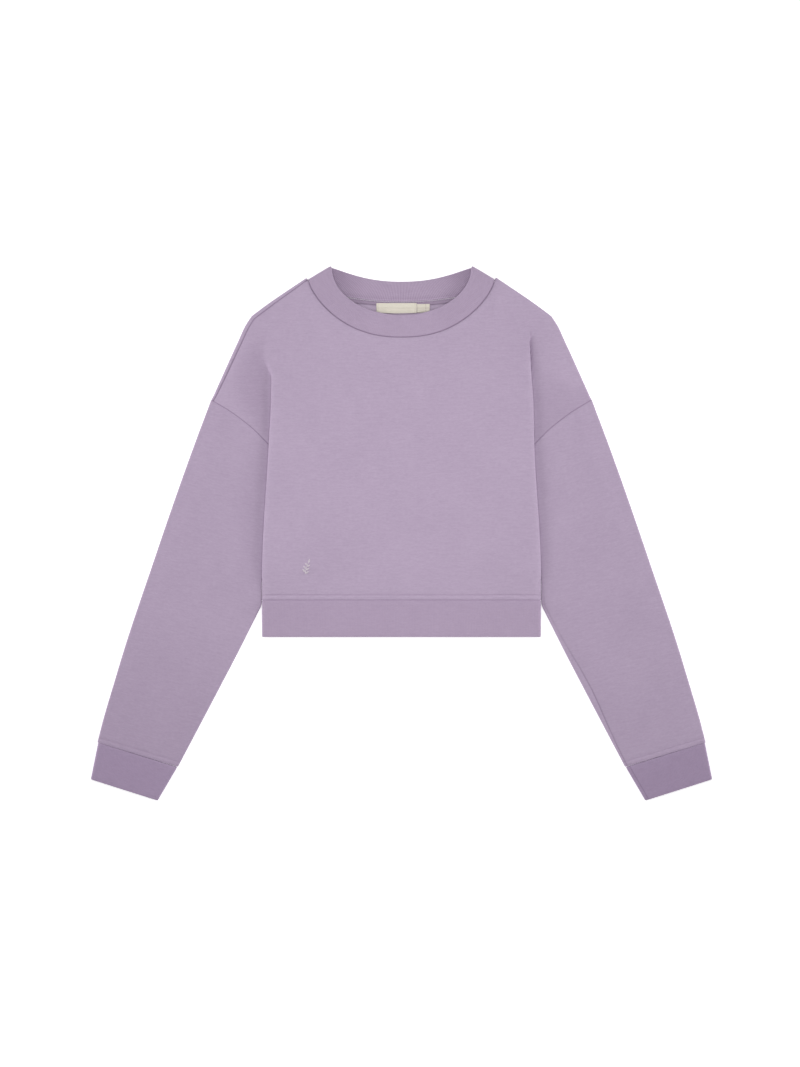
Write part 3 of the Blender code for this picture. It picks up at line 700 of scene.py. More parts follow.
# the painted soft shade beside the pleat: up, how far it reaches, how dark it is, how dark right beside the
# fold, and how far from the fold it starts; where the darkness is negative it is painted light
foldShade = {
    ("patch", left): ((0.290, 0.006, 0.00, 0.00, 0.005), (0.272, 0.014, 0.06, 0.00, 0.008),
                      (0.250, 0.030, 0.15, -0.02, 0.014), (0.220, 0.046, 0.21, -0.04, 0.016),
                      (0.190, 0.044, 0.21, -0.02, 0.012), (0.150, 0.026, 0.16, 0.06, 0.006),
                      (0.125, 0.010, 0.12, 0.12, 0.005)),
    ("patch", right): ((0.290, 0.004, 0.00, 0.00, 0.005), (0.272, 0.004, 0.04, 0.40, 0.005),
                       (0.250, 0.006, 0.06, 0.75, 0.005), (0.232, 0.010, 0.07, 0.40, 0.005),
                       (0.214, 0.040, 0.07, 0.14, 0.005), (0.192, 0.120, 0.12, 0.07, 0.008),
                       (0.170, 0.160, 0.15, 0.04, 0.010), (0.125, 0.180, 0.17, 0.10, 0.006)),
    ("sleeve", left): ((0.190, 0.020, 0.00, 0.00, 0.005), (0.150, 0.020, 0.02, 0.05, 0.005),
                       (0.110, 0.026, 0.07, 0.06, 0.005), (0.040, 0.036, 0.10, 0.00, 0.010),
                       (-0.010, 0.028, 0.06, 0.12, 0.008), (-0.070, 0.010, 0.00, 0.20, 0.005),
                       (-0.100, 0.006, 0.00, 0.00, 0.005)),
    ("sleeve", right): ((0.190, 0.020, -0.04, 0.00, 0.005), (0.140, 0.020, -0.04, 0.05, 0.005),
                        (0.110, 0.016, 0.04, 0.05, 0.005), (0.040, 0.024, 0.06, 0.04, 0.006),
                        (-0.010, 0.016, 0.05, 0.20, 0.005), (-0.070, 0.008, 0.04, 0.35, 0.005),
                        (-0.100, 0.006, 0.00, 0.20, 0.005), (-0.120, 0.006, 0.00, 0.00, 0.005)),
    "under": 0.0020,        # how far it runs in under the fold
    "full": 0.4,            # the share of its reach that is fully dark
    "soft": 0.0040,
    "contact": 0.0030,
    "rim": {"light": 0.10, "below": 0.018, "fade": 0.025, "width": 0.0040},
}
stitching = {"fromSeam": 0.0069, "groove": 0.00045, "grooveWidth": 0.0011, "puff": 0.00030, "narrow": 0.7}
# from, to, width and depth
restingCreases = (
    ((-0.160, 0.300), (-0.070, 0.220), 0.016, 0.00045),
    ((0.160, 0.285), (0.080, 0.190), 0.018, 0.00035),
    ((-0.170, 0.020), (-0.080, -0.010), 0.020, 0.00030),
    ((0.165, -0.010), (0.060, 0.030), 0.022, 0.00035),
    ((-0.050, -0.060), (0.070, -0.045), 0.012, -0.00025),
    ((-0.262, 0.130), (-0.215, 0.060), 0.012, 0.00060),
    ((-0.300, 0.050), (-0.235, 0.020), 0.011, 0.00050),
    ((-0.330, -0.020), (-0.240, -0.050), 0.013, 0.00060),
    ((-0.350, -0.110), (-0.270, -0.125), 0.012, -0.00050),
    ((-0.385, -0.200), (-0.300, -0.190), 0.014, 0.00055),
    ((0.270, 0.120), (0.220, 0.040), 0.012, 0.00055),
    ((0.318, 0.020), (0.240, 0.000), 0.011, 0.00055),
    ((0.340, -0.060), (0.262, -0.070), 0.013, -0.00055),
    ((0.365, -0.130), (0.290, -0.160), 0.013, 0.00060),
    ((0.395, -0.215), (0.325, -0.215), 0.012, 0.00050),
)


def settled(points):
    # slow unevenness and creases, none where the cloth touches the floor
    x, y, z = points[..., 0], points[..., 1], points[..., 2]
    weight = smoothStep((z - resting["clear"]) / resting["fade"])
    lift = resting["wave"] * ripple(x, y) - creaseDepth(x, y)
    out = points.copy()
    out[..., 2] = z + weight * lift
    return out


placesAtOnce = 4000     # keeps the arrays below small


def distanceTo(places, line):
    # shortest distance from each place (…, 2) to a line of points
    shape = places.shape[:-1]
    flatPlaces = places.reshape(-1, 2)
    a, b = line[:-1], line[1:]
    run = b - a
    size = np.maximum((run ** 2).sum(1), 1e-18)
    best = np.zeros(len(flatPlaces))
    for start in range(0, len(flatPlaces), placesAtOnce):
        part = flatPlaces[start:start + placesAtOnce, None]
        share = np.clip(((part - a) * run).sum(2) / size, 0, 1)
        gap = np.linalg.norm(part - a - share[..., None] * run, axis=2)
        best[start:start + placesAtOnce] = gap.min(1)
    return best.reshape(shape)


def foldShadow(part, side, out, up):
    # the painted soft shadow beside the pleat, where body cloth stands over shoulder and sleeve
    reach, share, contact, start = columnsAt(np.array(foldShade[(part, side)])[::-1], up)
    away = out - edgeOut(side, up)
    under = foldShade["under"]
    gone = smoothStep((away - foldShade["full"] * reach) / (reach + foldShade["soft"]))
    beside = smoothStep((away + under) / start) * (1 - gone)
    close = bump(np.maximum(away, 0), foldShade["contact"]) * smoothStep((away + under / 2) / under)
    return share * beside + contact * close


def rimLight(side, inside, up):
    # painted highlight: the rounded rim of the fold catches more light than the cloth beside it
    rim = foldShade["rim"]
    folded = smoothStep((pleat["apexUp"][side] - rim["below"] - up) / rim["fade"])
    return rim["light"] * bump(np.maximum(inside, 0), rim["width"]) * folded


def armholePaintedShade(out):
    # the painted shade in the seam is lighter towards the sleeve's outer fold
    share = smoothStep((armholeFade["outer"] - out) / armholeFade["width"])
    return paintedSeamShade["armhole"] * mix(armholeFade["least"], 1.0, share)


def rollAt(distance):
    return seam["roll"] * np.clip(1 - distance / seam["width"], 0, 1) ** 2


def shadeAt(distance, width=seam["shadeWidth"]):
    return np.clip(1 - distance / width, 0, 1) ** 1.5


def stitchedDrop(fromSeam, depth):
    # cloth sinks under its row of stitches and swells between them and the seam
    groove = bump(fromSeam - stitching["fromSeam"], stitching["grooveWidth"])
    swell = np.sin(math.pi * np.clip(fromSeam / stitching["fromSeam"], 0, 1)) ** 2
    return depth * stitching["groove"] * groove - stitching["puff"] * swell


def stitchedShade(fromSeam, dark):
    # painted shade along the groove under the stitches
    return dark * bump(fromSeam - stitching["fromSeam"], stitching["grooveWidth"] * stitching["narrow"])


panelGrid = {"fold": 8, "tuck": 14, "slope": 10, "neck": 38, "patch": 24, "wrapFold": 8, "wrapFlat": 4,
             "high": 77, "top": 0.3229, "lowStep": 0.0048, "hole": 80}
sectionCount = 1 + 2 * panelGrid["fold"] + panelGrid["tuck"]      # points across a pleat
patchColumns = panelGrid["patch"]
flatStart = patchColumns + sectionCount - 1                       # where the body's level part starts


# distances from a seam where rows lie close together, to carry its roll and its stitches
nearSeam = {
    "hem": (0, .0005, .0011, .0020, .0032, .0046, .0057, .0063, .0069, .0075, .0083, .0100),
    "underarm": (0, .0005, .0011, .0020, .0032, .0050),
    "shoulder": (0, .0004, .0009, .0016, .0026, .0042),
    "cuff": (0, .0005, .0012, .0022, .0036, .0050, .0058, .0064, .0070, .0078, .0100),
    "band": (0, .0005, .0012, .0022, .0034),
}
nearArmhole = (0, .003, .007, .013, .022, .035, .052)     # as shares of the way to the pleat
lowRows = hemUp + steppedLength(underarmUp - hemUp, panelGrid["lowStep"], nearSeam["hem"], (0, .003))[:-1]
underarmRow = len(lowRows)
foldInset = (cloth["jersey"] + levels["pleatPitch"]) / 2


def panelRows(top):
    length = top - underarmUp
    high = steppedLength(length, length / panelGrid["high"], nearSeam["underarm"], nearSeam["shoulder"])
    return np.concatenate([lowRows, underarmUp + high])


def edgeTop(side, up):
    # the top layer at the fold, which rises to the thick corner of the hem
    corner = pleat["cornerUp"]
    fall = smoothStep((corner - up) / (corner - hemUp))
    return float(mix(topLevel(side, max(up, corner)), levels["hemCorner"], fall))


def pleatReach(side, up):
    # how far the sewn edge lies outside the fold, or inside it where that is negative
    spread = pleat["smoothing"]
    below = np.maximum(pleat["apexUp"][side] - up + np.linspace(-spread, spread, 5), 0.0)
    ahead = pleat["flatWidth"][side] - (pleat["steepness"][side] + pleat["quickening"][side] * below) * below
    return float(np.maximum(ahead, pleatInner(side, up) - edgeOut(side, up) + foldInset).mean())


def pleatFolds(start, turn, outerRadius, tuck, innerTurn, innerRadius):
    # round the outer fold, along the tuck and round the inner fold, each with its own number of points
    outerFold, place, heading = arcWalk(start, 0.0, -turn, outerRadius, panelGrid["fold"])
    gone = tuck * np.arange(1, panelGrid["tuck"] + 1) / panelGrid["tuck"]
    tucks = np.column_stack([place[0] + gone * math.cos(heading), place[1] + gone * math.sin(heading)])
    innerFold = arcWalk(tucks[-1], heading, innerTurn, innerRadius, panelGrid["fold"])[0]
    return np.vstack([start, outerFold, tucks, innerFold])


def openSection(side, up, top):
    # a slope that grows steeper down the row, turns into a wall and then folds under
    drop = stack * float(levelShare(side, up))
    reach = pleatReach(side, up)
    turn = 2 * math.atan2(drop / 2, max(reach, 0.0))
    start = (float(edgeOut(side, up)) - foldInset, top)
    outerRadius, innerRadius = (drop * levels[pitch] / 2 / stack for pitch in ("pleatPitch", "tuckPitch"))
    folded = pleatFolds(start, turn, outerRadius, abs(reach), turn, innerRadius)
    share = np.arange(sectionCount) / (sectionCount - 1)
    sloped = np.column_stack([start[0] + share * reach, top - drop * smoothStep(share)])
    return mix(sloped, folded, float(smoothStep(turn - pleat["foldTurn"])))


def sewnSection(side, up, top):
    # below the underarm, where the pleat's inner edge is the side seam
    edge = float(edgeOut(side, up)) - cloth["jersey"] / 2
    middle = (top + levels["back"]) / 2
    radius = levels["pleatPitch"] / 2
    seamRadius = top - levels["pleatPitch"] - middle
    tuck = max(pleat["leastTuck"], edge - radius - float(outAt(sideSeamLine, up)) - seamRadius)
    sewn = pleatFolds((edge - radius, top), math.pi, radius, tuck,
                      math.acos(cloth["seamGap"] / 2 / seamRadius), seamRadius)
    leaves = pleat["exitUp"] + pleat["exitAbove"]
    if up < leaves:
        # further down the pleat runs out, and the front turns straight into the side seam
        sideRadius = middle - levels["back"]
        turns = np.linspace(0, math.acos(cloth["seamGap"] / 2 / sideRadius), sectionCount)
        turned = np.column_stack([np.sin(turns), np.cos(turns)])
        plain = (edge - sideRadius, middle) + sideRadius * turned
        sewn = mix(sewn, plain, float(smoothStep((leaves - up) / pleat["exitFade"])))
        sewn[:, 0] += edge - sewn[:, 0].max()
    return sewn


def pleatSection(side, up, top):
    # the front's section at its edge, from the top layer round to its sewn edge
    if up >= underarmUp:
        return openSection(side, up, top)
    pleated = openSection(side, underarmUp, top)
    share = smoothStep((up - underarmUp) / pleat["underarmFade"] + 1)
    return mix(sewnSection(side, up, top), pleated, float(share))


def wrapLength(up):
    # how far the cloth runs on past the shoulder fold to its seam
    low, high = shoulder["overarm"][-1][1], shoulder["wrapTop"]
    share = np.clip((up - low) / (high - low), 0, 1)
    return shoulder["wrapEnd"] + shoulder["wrapMiddle"] * (4 * share * (1 - share)) ** shoulder["wrapPower"]


def shoulderLines(seamInside):
    slope, overarm = roundedLine(shoulder["slope"]), roundedLine(shoulder["overarm"])
    whole = np.vstack([slope, overarm[1:]])
    past = cloth["seamGap"] + wrapLength(whole[:, 1])
    line = movedLine(whole, shoulder["inset"] + past * seamInside)
    return line[:len(slope)], line[len(slope) - 1:]


neckRunOn = {"columns": 7, "lengths": 3, "samples": 601}


def neckCorner(slope, seamLine):
    # where the neck seam, run on straight, meets the shoulder slope
    start, end = seamLine[1], seamLine[0]
    points = start + np.outer(np.linspace(0, neckRunOn["lengths"], neckRunOn["samples"]), end - start)
    below = upAt(slope, points[:, 0]) - points[:, 1]
    return points[np.argmax(below <= 0)]


def bodyPart(side, face, slope, topLine, ups, rise):
    # from the sewn edge through the pleat to the centre line
    tops = [edgeTop(side, up) for up in ups]
    sections = [pleatSection(side, up, top) for up, top in zip(ups, tops)]
    shares = 1 - topLine[:, 0] / topLine[0][0]
    edgeLine = np.array([(section[0][0], up) for up, section in zip(ups, sections)])
    centreLine = np.column_stack([0 * rise, mix(hemUp, topLine[-1][1], rise)])
    hemLine = np.column_stack([edgeLine[0][0] * (1 - shares), hemUp + 0 * shares])
    middle = fourSided(hemLine, topLine, edgeLine, centreLine, shares, rise)
    apex = pleat["apexUp"][side]
    rows = []
    for up, top, section, flat in zip(ups, tops, sections, middle[:, 1:]):
        lean = float(smoothStep((up - apex) / (ups[-1] - apex)))
        shift = upAt(slope, section[:, 0]) - upAt(slope, section[0, 0])
        level = section[:, 1] if face > 0 else top + levels["back"] - section[:, 1]
        folded = np.column_stack([section[:, 0], up + lean * shift, level])
        if face > 0:
            folded[:, 2] += puffAt(side, folded[:, 0], folded[:, 1])
        inner = section[:, 0].min()
        relax = smoothStep((inner - flat[:, 0]) / min(pleat["relax"], inner))
        level = mix(top, levels["centre"], relax) if face > 0 else levels["back"] + 0 * relax
        rows.append(np.vstack([folded[::-1], np.column_stack([flat, level])]))
    return np.array(rows)


def patchPart(side, face, seamInside, slope, overarm, innerLine, rise):
    # the outer part of the shoulder, from the armhole seam up to the slope
    trim = shoulder["inset"] + (cloth["seamGap"] + shoulder["wrapEnd"]) * seamInside
    hole = spacedLine(armholeLine, np.linspace(trim / walked(armholeLine)[-1], 1, panelGrid["hole"]))
    hole[-1] = innerLine[0, :2]
    along = (rise[underarmRow:] - rise[underarmRow]) / (rise[-1] - rise[underarmRow])
    rest = np.linspace(nearArmhole[-1], 1, patchColumns - len(nearArmhole) + 2)[1:]
    across = np.concatenate([nearArmhole, rest])
    topOuts = mix(slope[-1][0], innerLine[-1][0], across)
    topEdge = np.column_stack([topOuts, upAt(slope, topOuts)])
    outerLine = spacedLine(np.vstack([hole[0], overarm[::-1][1:]]), along)
    patch = fourSided(spacedLine(hole, across), topEdge, outerLine, innerLine[:, :2], across, along)
    if face > 0:
        level = frontLevel(side, patch[..., 0], patch[..., 1]) + puffAt(side, patch[..., 0], patch[..., 1])
    else:
        level = backLevel(side, patch[..., 0], patch[..., 1])
    # the sewn edge of the pleat and the patch share one level, reached over the last third
    meet = (innerLine[:, 2] - level[:, -1])[:, None]
    level = level + meet * smoothStep(across * 3 - 2)
    return np.dstack([patch, level]), hole, np.vstack([outerLine, topEdge[1:]])


def halfPanel(side, face, seamInside):
    # rows from hem to shoulder of (out, up, level) from the sewn edge to the centre line
    slope, overarm = shoulderLines(seamInside)
    name = "frontSeam" if face > 0 else "backSeam"
    neck = neckLine(name, panelGrid["neck"])
    neck[0] = neckCorner(slope, neckLine(name, neckRunOn["columns"]))
    edgeAtTop = edgeOut(side, panelGrid["top"]) - foldInset
    ups = panelRows(float(upAt(slope, edgeAtTop)))
    rise = (panelRows(panelGrid["top"]) - hemUp) / (panelGrid["top"] - hemUp)
    firstOut = pleatSection(side, ups[-1], edgeTop(side, ups[-1]))[0][0]
    slopeOuts = np.linspace(firstOut, neck[0][0], panelGrid["slope"] + 1)
    slopePart = np.column_stack([slopeOuts, upAt(slope, slopeOuts)])
    body = bodyPart(side, face, slope, np.vstack([slopePart[:-1], neck]), ups, rise)
    patch, hole, outline = patchPart(side, face, seamInside, slope, overarm, body[underarmRow:, 0], rise)
    whole = np.zeros((len(ups), patchColumns + body.shape[1], 3))
    whole[:, patchColumns:] = body
    whole[underarmRow:, :patchColumns] = patch[:, :-1]
    whole[:underarmRow, :patchColumns] = body[:underarmRow, :1]
    return whole, {"neck": neck, "armhole": hole, "outline": np.vstack([outline, slopePart[1:]])}


# the panels' seams: how far they roll in, and the hem's painted shade; least is the most painted light a
# panel may take
panelSeam = {"neckRoll": 0.5, "neckWidth": 0.0009, "armholeRoll": 0.7, "hemRoll": 0.6, "hemShade": 0.22,
             "rimColumns": 5, "least": -0.5}
# the back is painted darker along the lower edge of the neck tape, a painted shade, and painted lighter below
# it, a painted light inside the neck
tapeShade = {"away": 0.0064, "width": 0.0006, "dark": 0.25, "below": 0.0070, "soft": 0.0012, "light": 0.42,
             "end": 0.030, "fade": 0.010, "out": 0.110}
pucker = {"pitch": 0.0083, "wander": 61, "away": 0.009, "reach": 0.006, "height": 0.00010}


def seamedHalf(whole, edges, face, seamInside, side):
    # cloth rolls in at its seams; returns the painted shade that they hold too, with the painted shadow and
    # highlight by the pleat and the painted shade and light by the neck tape
    points = whole.copy()
    outs, ups = points[..., 0], points[..., 1]
    shade = np.zeros(points.shape[:2])
    drop = np.zeros(points.shape[:2])
    neckGap = distanceTo(points[:, flatStart:, :2], edges["neck"])
    drop[:, flatStart:] += panelSeam["neckRoll"] * rollAt(neckGap)
    shade[:, flatStart:] += paintedSeamShade["neck"] * shadeAt(neckGap, panelSeam["neckWidth"])
    if face < 0:
        underTape = tapeShade["dark"] * bump(neckGap - tapeShade["away"], tapeShade["width"])
        lit = smoothStep((neckGap - tapeShade["below"]) / tapeShade["soft"])
        lit *= 1 - smoothStep((neckGap - tapeShade["end"]) / tapeShade["fade"])
        nearTape = outs[:, flatStart:] < tapeShade["out"]
        shade[:, flatStart:] += (underTape - tapeShade["light"] * lit) * nearTape
    patch = (slice(underarmRow, None), slice(0, patchColumns + 1))
    armGap = distanceTo(points[patch][..., :2], edges["armhole"])
    drop[patch] = np.maximum(drop[patch], panelSeam["armholeRoll"] * rollAt(armGap))
    shade[patch] += armholePaintedShade(outs[patch]) * shadeAt(armGap, armholeFade["shadeWidth"])
    if seamInside:
        outlineGap = distanceTo(points[underarmRow:, :, :2], edges["outline"])
        drop[underarmRow:] = np.maximum(drop[underarmRow:], rollAt(outlineGap))
        shade[underarmRow:] += paintedSeamShade["shoulder"] * shadeAt(outlineGap)
    if face > 0:
        shadow = foldShadow("patch", side, outs, ups)
        shade[underarmRow:, :flatStart] += shadow[underarmRow:, :flatStart]
        rim = rimLight(side, outs[:, flatStart:flatStart + 1] - outs, ups)
        rimStart = flatStart - panelSeam["rimColumns"]
        shade[:, rimStart:] -= rim[:, rimStart:]
    fromHem = ups - hemUp
    drop = np.maximum(drop, panelSeam["hemRoll"] * rollAt(fromHem)) + stitchedDrop(fromHem, 1.0)
    shade += paintedSeamShade["hem"] * shadeAt(fromHem) + stitchedShade(fromHem, panelSeam["hemShade"])
    puckers = np.sin(2 * math.pi * outs / pucker["pitch"] + 2 * np.sin(outs * pucker["wander"] * side))
    drop -= pucker["height"] * puckers * bump(fromHem - pucker["away"], pucker["reach"])
    points[..., 2] -= face * drop
    return points, np.clip(shade, panelSeam["least"], 1)


def wrapPart(whole, face, side):
    # carries a panel round the shoulder fold to the seam on the other side
    lastColumn = flatStart + panelGrid["slope"]
    rows = len(whole)
    # each point of the outline with its neighbour inside the panel
    edge = [(i, 0, i, 1) for i in range(underarmRow, rows - 1)]
    edge.append((rows - 1, 0, rows - 3, 2))
    edge += [(rows - 1, j, rows - 2, j) for j in range(1, lastColumn)]
    edge.append((rows - 1, lastColumn, rows - 1, lastColumn + 1))
    heres = np.array([whole[i, j] for i, j, _, _ in edge])
    inners = np.array([whole[i, j, :2] for _, _, i, j in edge])
    outline = heres[:, :2]
    towards = inners - outline
    along = unit(np.gradient(outline, axis=0))
    inward = np.column_stack([-along[:, 1], along[:, 0]])
    inward *= np.sign((inward * towards).sum(1))[:, None]
    inward[-1] = unit(towards[-1])
    # at the armhole the strip ends along the armhole's own line
    turned = smoothStep(walked(outline)[:, None] / shoulder["wrapTurn"])
    inward = unit(mix(unit(towards[0]), inward, turned))[:, None]

    start = outline[:, None]
    level = heres[:, 2:]
    far = (backLevel if face > 0 else frontLevel)(side, outline[:, 0], outline[:, 1])[:, None]
    radius = np.abs(far - level) / 2
    angles = math.pi * np.arange(1, panelGrid["wrapFold"] + 1) / panelGrid["wrapFold"]
    folded = start - inward * radius[..., None] * np.sin(angles)[:, None]
    reach = wrapLength(outline[:, 1])[:, None]
    gone = reach * np.arange(1, panelGrid["wrapFlat"] + 1) / panelGrid["wrapFlat"]
    rolled = rollAt(reach - gone) * np.minimum(1.0, reach / seam["width"])
    lines = np.concatenate([
        heres[:, None],
        np.dstack([folded, mix(level, far, (1 - np.cos(angles)) / 2)]),
        np.dstack([start + inward * gone[..., None], far + face * rolled]),
    ], axis=1)
    shade = np.zeros(lines.shape[:2])
    shade[:, -panelGrid["wrapFlat"]:] = paintedSeamShade["shoulder"] * shadeAt(reach - gone)
    return lines, shade


def sided(points, side):
    out = points.copy()
    out[..., 0] *= side
    return out


def flatPlaces(points):
    # each point's place on the flat cloth; the outer folds of the pleats follow their own curve
    flat = points[..., :2].copy()
    for start, step in ((flatStart, -1), (points.shape[1] - 1 - flatStart, 1)):
        columns = start + step * np.arange(sectionCount)
        gone = walked(points[:, columns], axis=1)
        blend = smoothStep((np.arange(sectionCount) - panelGrid["fold"]) / panelGrid["tuck"])[None, :]
        curved = points[:, columns[:1], 0] + step * gone
        flat[:, columns, 0] = mix(curved, points[:, columns, 0], blend)
    return flat


def layFlat(obj):
    # nothing is below the floor, and the painted light inside the neck stays on the cloth's upper side
    mesh = obj.data
    normals, places = readPoints(mesh, "normal"), readPoints(mesh)
    tones = np.zeros(len(mesh.vertices))
    tone = mesh.attributes["paintedShade"].data
    tone.foreach_get("value", tones)
    tone.foreach_set("value", np.where(normals[:, 2] < 0, np.maximum(tones, 0), tones))
    keepAbove(places)
    mesh.vertices.foreach_set("co", places.reshape(-1))
    mesh.update()


panelRowsKept = {}


def makePanel(name, face, wraps, material):
    halves = {}
    for side in (left, right):
        seamInside = wraps != side
        whole, edges = halfPanel(side, face, seamInside)
        points, shade = seamedHalf(whole, edges, face, seamInside, side)
        halves[side] = (sided(points, side), shade)
        if wraps == side:
            lines, lineShade = wrapPart(whole, face, side)
    leftPoints, leftShade = halves[left]
    rightPoints, rightShade = halves[right]
    leftPoints[:, -1] = (leftPoints[:, -1] + rightPoints[:, -1]) / 2
    points = np.concatenate([leftPoints, rightPoints[:, -2::-1]], axis=1)
    shade = np.concatenate([leftShade, rightShade[:, -2::-1]], axis=1)
    flat = flatPlaces(points)
    points = settled(points)
    absent = np.zeros((points.shape[0] - 1, points.shape[1] - 1), bool)
    absent[:underarmRow, :patchColumns] = True
    absent[:underarmRow, absent.shape[1] - patchColumns:] = True
    obj = gridPiece(name, points, flat, shade, absent)
    # the wrapped strip starts on the panel's own edge, so it takes that edge's settled points
    rows, columns = points.shape[:2]
    upwards = rows - underarmRow        # so many lines start up the outer edge, the others along the top
    place = np.arange(len(lines))
    edgeRows = np.minimum(underarmRow + place, rows - 1)
    edgeColumns = np.maximum(place - upwards + 1, 0)
    if wraps == right:
        edgeColumns = columns - 1 - edgeColumns
    wrapped = settled(sided(lines, wraps))
    wrapped[:, 0] = points[edgeRows, edgeColumns]
    stripFlat = np.zeros(wrapped.shape[:2] + (2,))
    stripFlat[..., 0] = flat[edgeRows, edgeColumns, 0][:, None] + wraps * walked(wrapped, axis=1)
    stripFlat[..., 1] = flat[edgeRows, edgeColumns, 1][:, None]
    strip = gridPiece(name + "Wrap", wrapped, stripFlat, lineShade)
    joinPieces(obj, strip, merge=0.00002)
    giveThickness(obj, cloth["jersey"])
    turnOutwards(obj)
    layFlat(obj)
    finishShading(obj, material)
    panelRowsKept[name] = points
    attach(obj, "root")
    return obj


# the front runs over the right shoulder fold, and the back over the left one
frontPanel = makePanel("front_panel_cloth", 1, right, materials["jersey"])
backPanel = makePanel("back_panel_cloth", -1, left, materials["jersey"])
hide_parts("front_panel")
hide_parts("back_panel")
print("body panels made", len(frontPanel.data.polygons), len(backPanel.data.polygons))


sleeve = {
    "clear": 0.00030,
    "underarmClear": 0.0030,
    "across": 40,
    "inside": 4,
    "arc": 8,
    "seamSteps": (-0.0030, -0.0016, -0.0008, 0.0, 0.0008, 0.0016),
    "grainLean": 12.0,             # degrees that the courses lean
    # painted shade that darkens each sleeve towards its cuff, more on the left
    "paintedCuffEndShade": {left: 0.07, right: 0.00},
    "cuffEnd": {"start": 0.55, "fade": 0.40},
    "step": 0.0050,
    "leastInset": 0.0024,
    "topRoll": 0.7,
    "cuffRoll": 0.4,
    "groove": 0.7,
    "grooveShade": 0.10,
    "dentWidth": 0.0016,
    "foldShare": 0.25,             # how much of the relief runs on round the folds
    # the underarm seam, on the front of the right sleeve: up, distance from the edge, dent, painted shade,
    # width
    "seam": ((0.0490, 0.0040, 0.0, 0.0, 0.0012), (-0.0700, 0.0034, 0.0, 0.0, 0.0012),
             (-0.0960, 0.0034, 0.0004, 0.18, 0.0018), (-0.1105, 0.0038, 0.0005, 0.16, 0.0018),
             (-0.1353, 0.0044, 0.0005, 0.13, 0.0016), (-0.1540, 0.0056, 0.0005, 0.20, 0.0012),
             (-0.1890, 0.0086, 0.0006, 0.34, 0.0009), (-0.2180, 0.0092, 0.0007, 0.44, 0.0008),
             (-0.2400, 0.0080, 0.0007, 0.48, 0.0008), (-0.2592, 0.0062, 0.0007, 0.50, 0.0008),
             (-0.2964, 0.0039, 0.0006, 0.46, 0.0008), (-0.3262, 0.0030, 0.0005, 0.40, 0.0008)),
}


def flatRing(points, lower, upper, arc):
    # over the upper layer, round the fold and back along the lower one
    angles = math.pi * np.arange(1, arc) / arc

    def fold(end, beside, first, last):
        places = end + np.outer(np.sin(angles), unit(end - beside)) * abs(first - last) / 2
        return np.column_stack([places, mix(first, last, (1 - np.cos(angles)) / 2)])

    return np.vstack([
        np.column_stack([points, upper]),
        fold(points[-1], points[-2], upper[-1], lower[-1]),
        np.column_stack([points[::-1], lower[::-1]]),
        fold(points[0], points[1], lower[0], upper[0]),
    ])


def wallLoop(middle, normal, half, roundEnd=0):
    # a wall round the middle surface: outer face, far rim and inner face back
    outer = middle + normal * half[..., None]
    inner = middle - normal * half[..., None]
    parts = [outer]
    if roundEnd:
        towards = unit(middle[:, -1] - middle[:, -2])
        for angle in math.pi * np.arange(1, roundEnd) / roundEnd:
            rim = (middle[:, -1] + normal[:, -1] * half[:, -1:] * math.cos(angle)
                   + towards * half[:, -1:] * math.sin(angle))
            parts.append(rim[:, None])
    parts.append(inner[:, ::-1])
    return np.concatenate(parts, axis=1)


rimStep = 0.0005        # cloth between two points of a folded rim


def ringFlat(middle, count):
    # around and along the tube; the inner face mirrors the outer one
    around, along = walked(middle), walked(middle, axis=1)
    rows = middle.shape[1]
    extra = count - 2 * rows
    index = np.concatenate([np.arange(rows), np.full(extra, rows - 1), np.arange(rows)[::-1]])
    flat = np.dstack([around[:, index], along[:, index]])
    end = along[:, -1:]
    flat[:, rows:rows + extra, 1] = end + rimStep * np.arange(1, extra + 1)
    flat[:, rows + extra:, 1] = end + rimStep * (extra + 1) + (end - along[:, ::-1])
    return flat


def leaningFlat(middle, side):
    # around the sleeve and along it, on lines that lean with it; the inner face mirrors the outer one
    lean = math.radians(sleeve["grainLean"])
    x, y, z = middle[..., 0], middle[..., 1], middle[..., 2]
    across = x * math.cos(lean) + side * y * math.sin(lean)
    along = y * math.cos(lean) - side * x * math.sin(lean)
    steps = np.hypot(np.diff(across, axis=0), np.diff(z, axis=0))
    around = across[:1] - side * np.concatenate([np.zeros((1, middle.shape[1])), np.cumsum(steps, axis=0)])
    flat = np.dstack([around, along])
    return np.concatenate([flat, flat[:, ::-1]], axis=1)


def underarmSeam(up):
    # its distance from the edge, dent, shade and width at a height
    return columnsAt(np.array(sleeve["seam"])[::-1], up)


def acrossShares(inset, width):
    # from the outer edge to the inner one, close together at the underarm seam
    near = 1 - (inset - np.array(sleeve["seamSteps"])) / width
    return np.concatenate([np.linspace(0, near[0], sleeve["across"]), near[1:],
                           np.linspace(near[-1], 1, sleeve["inside"])[1:]])


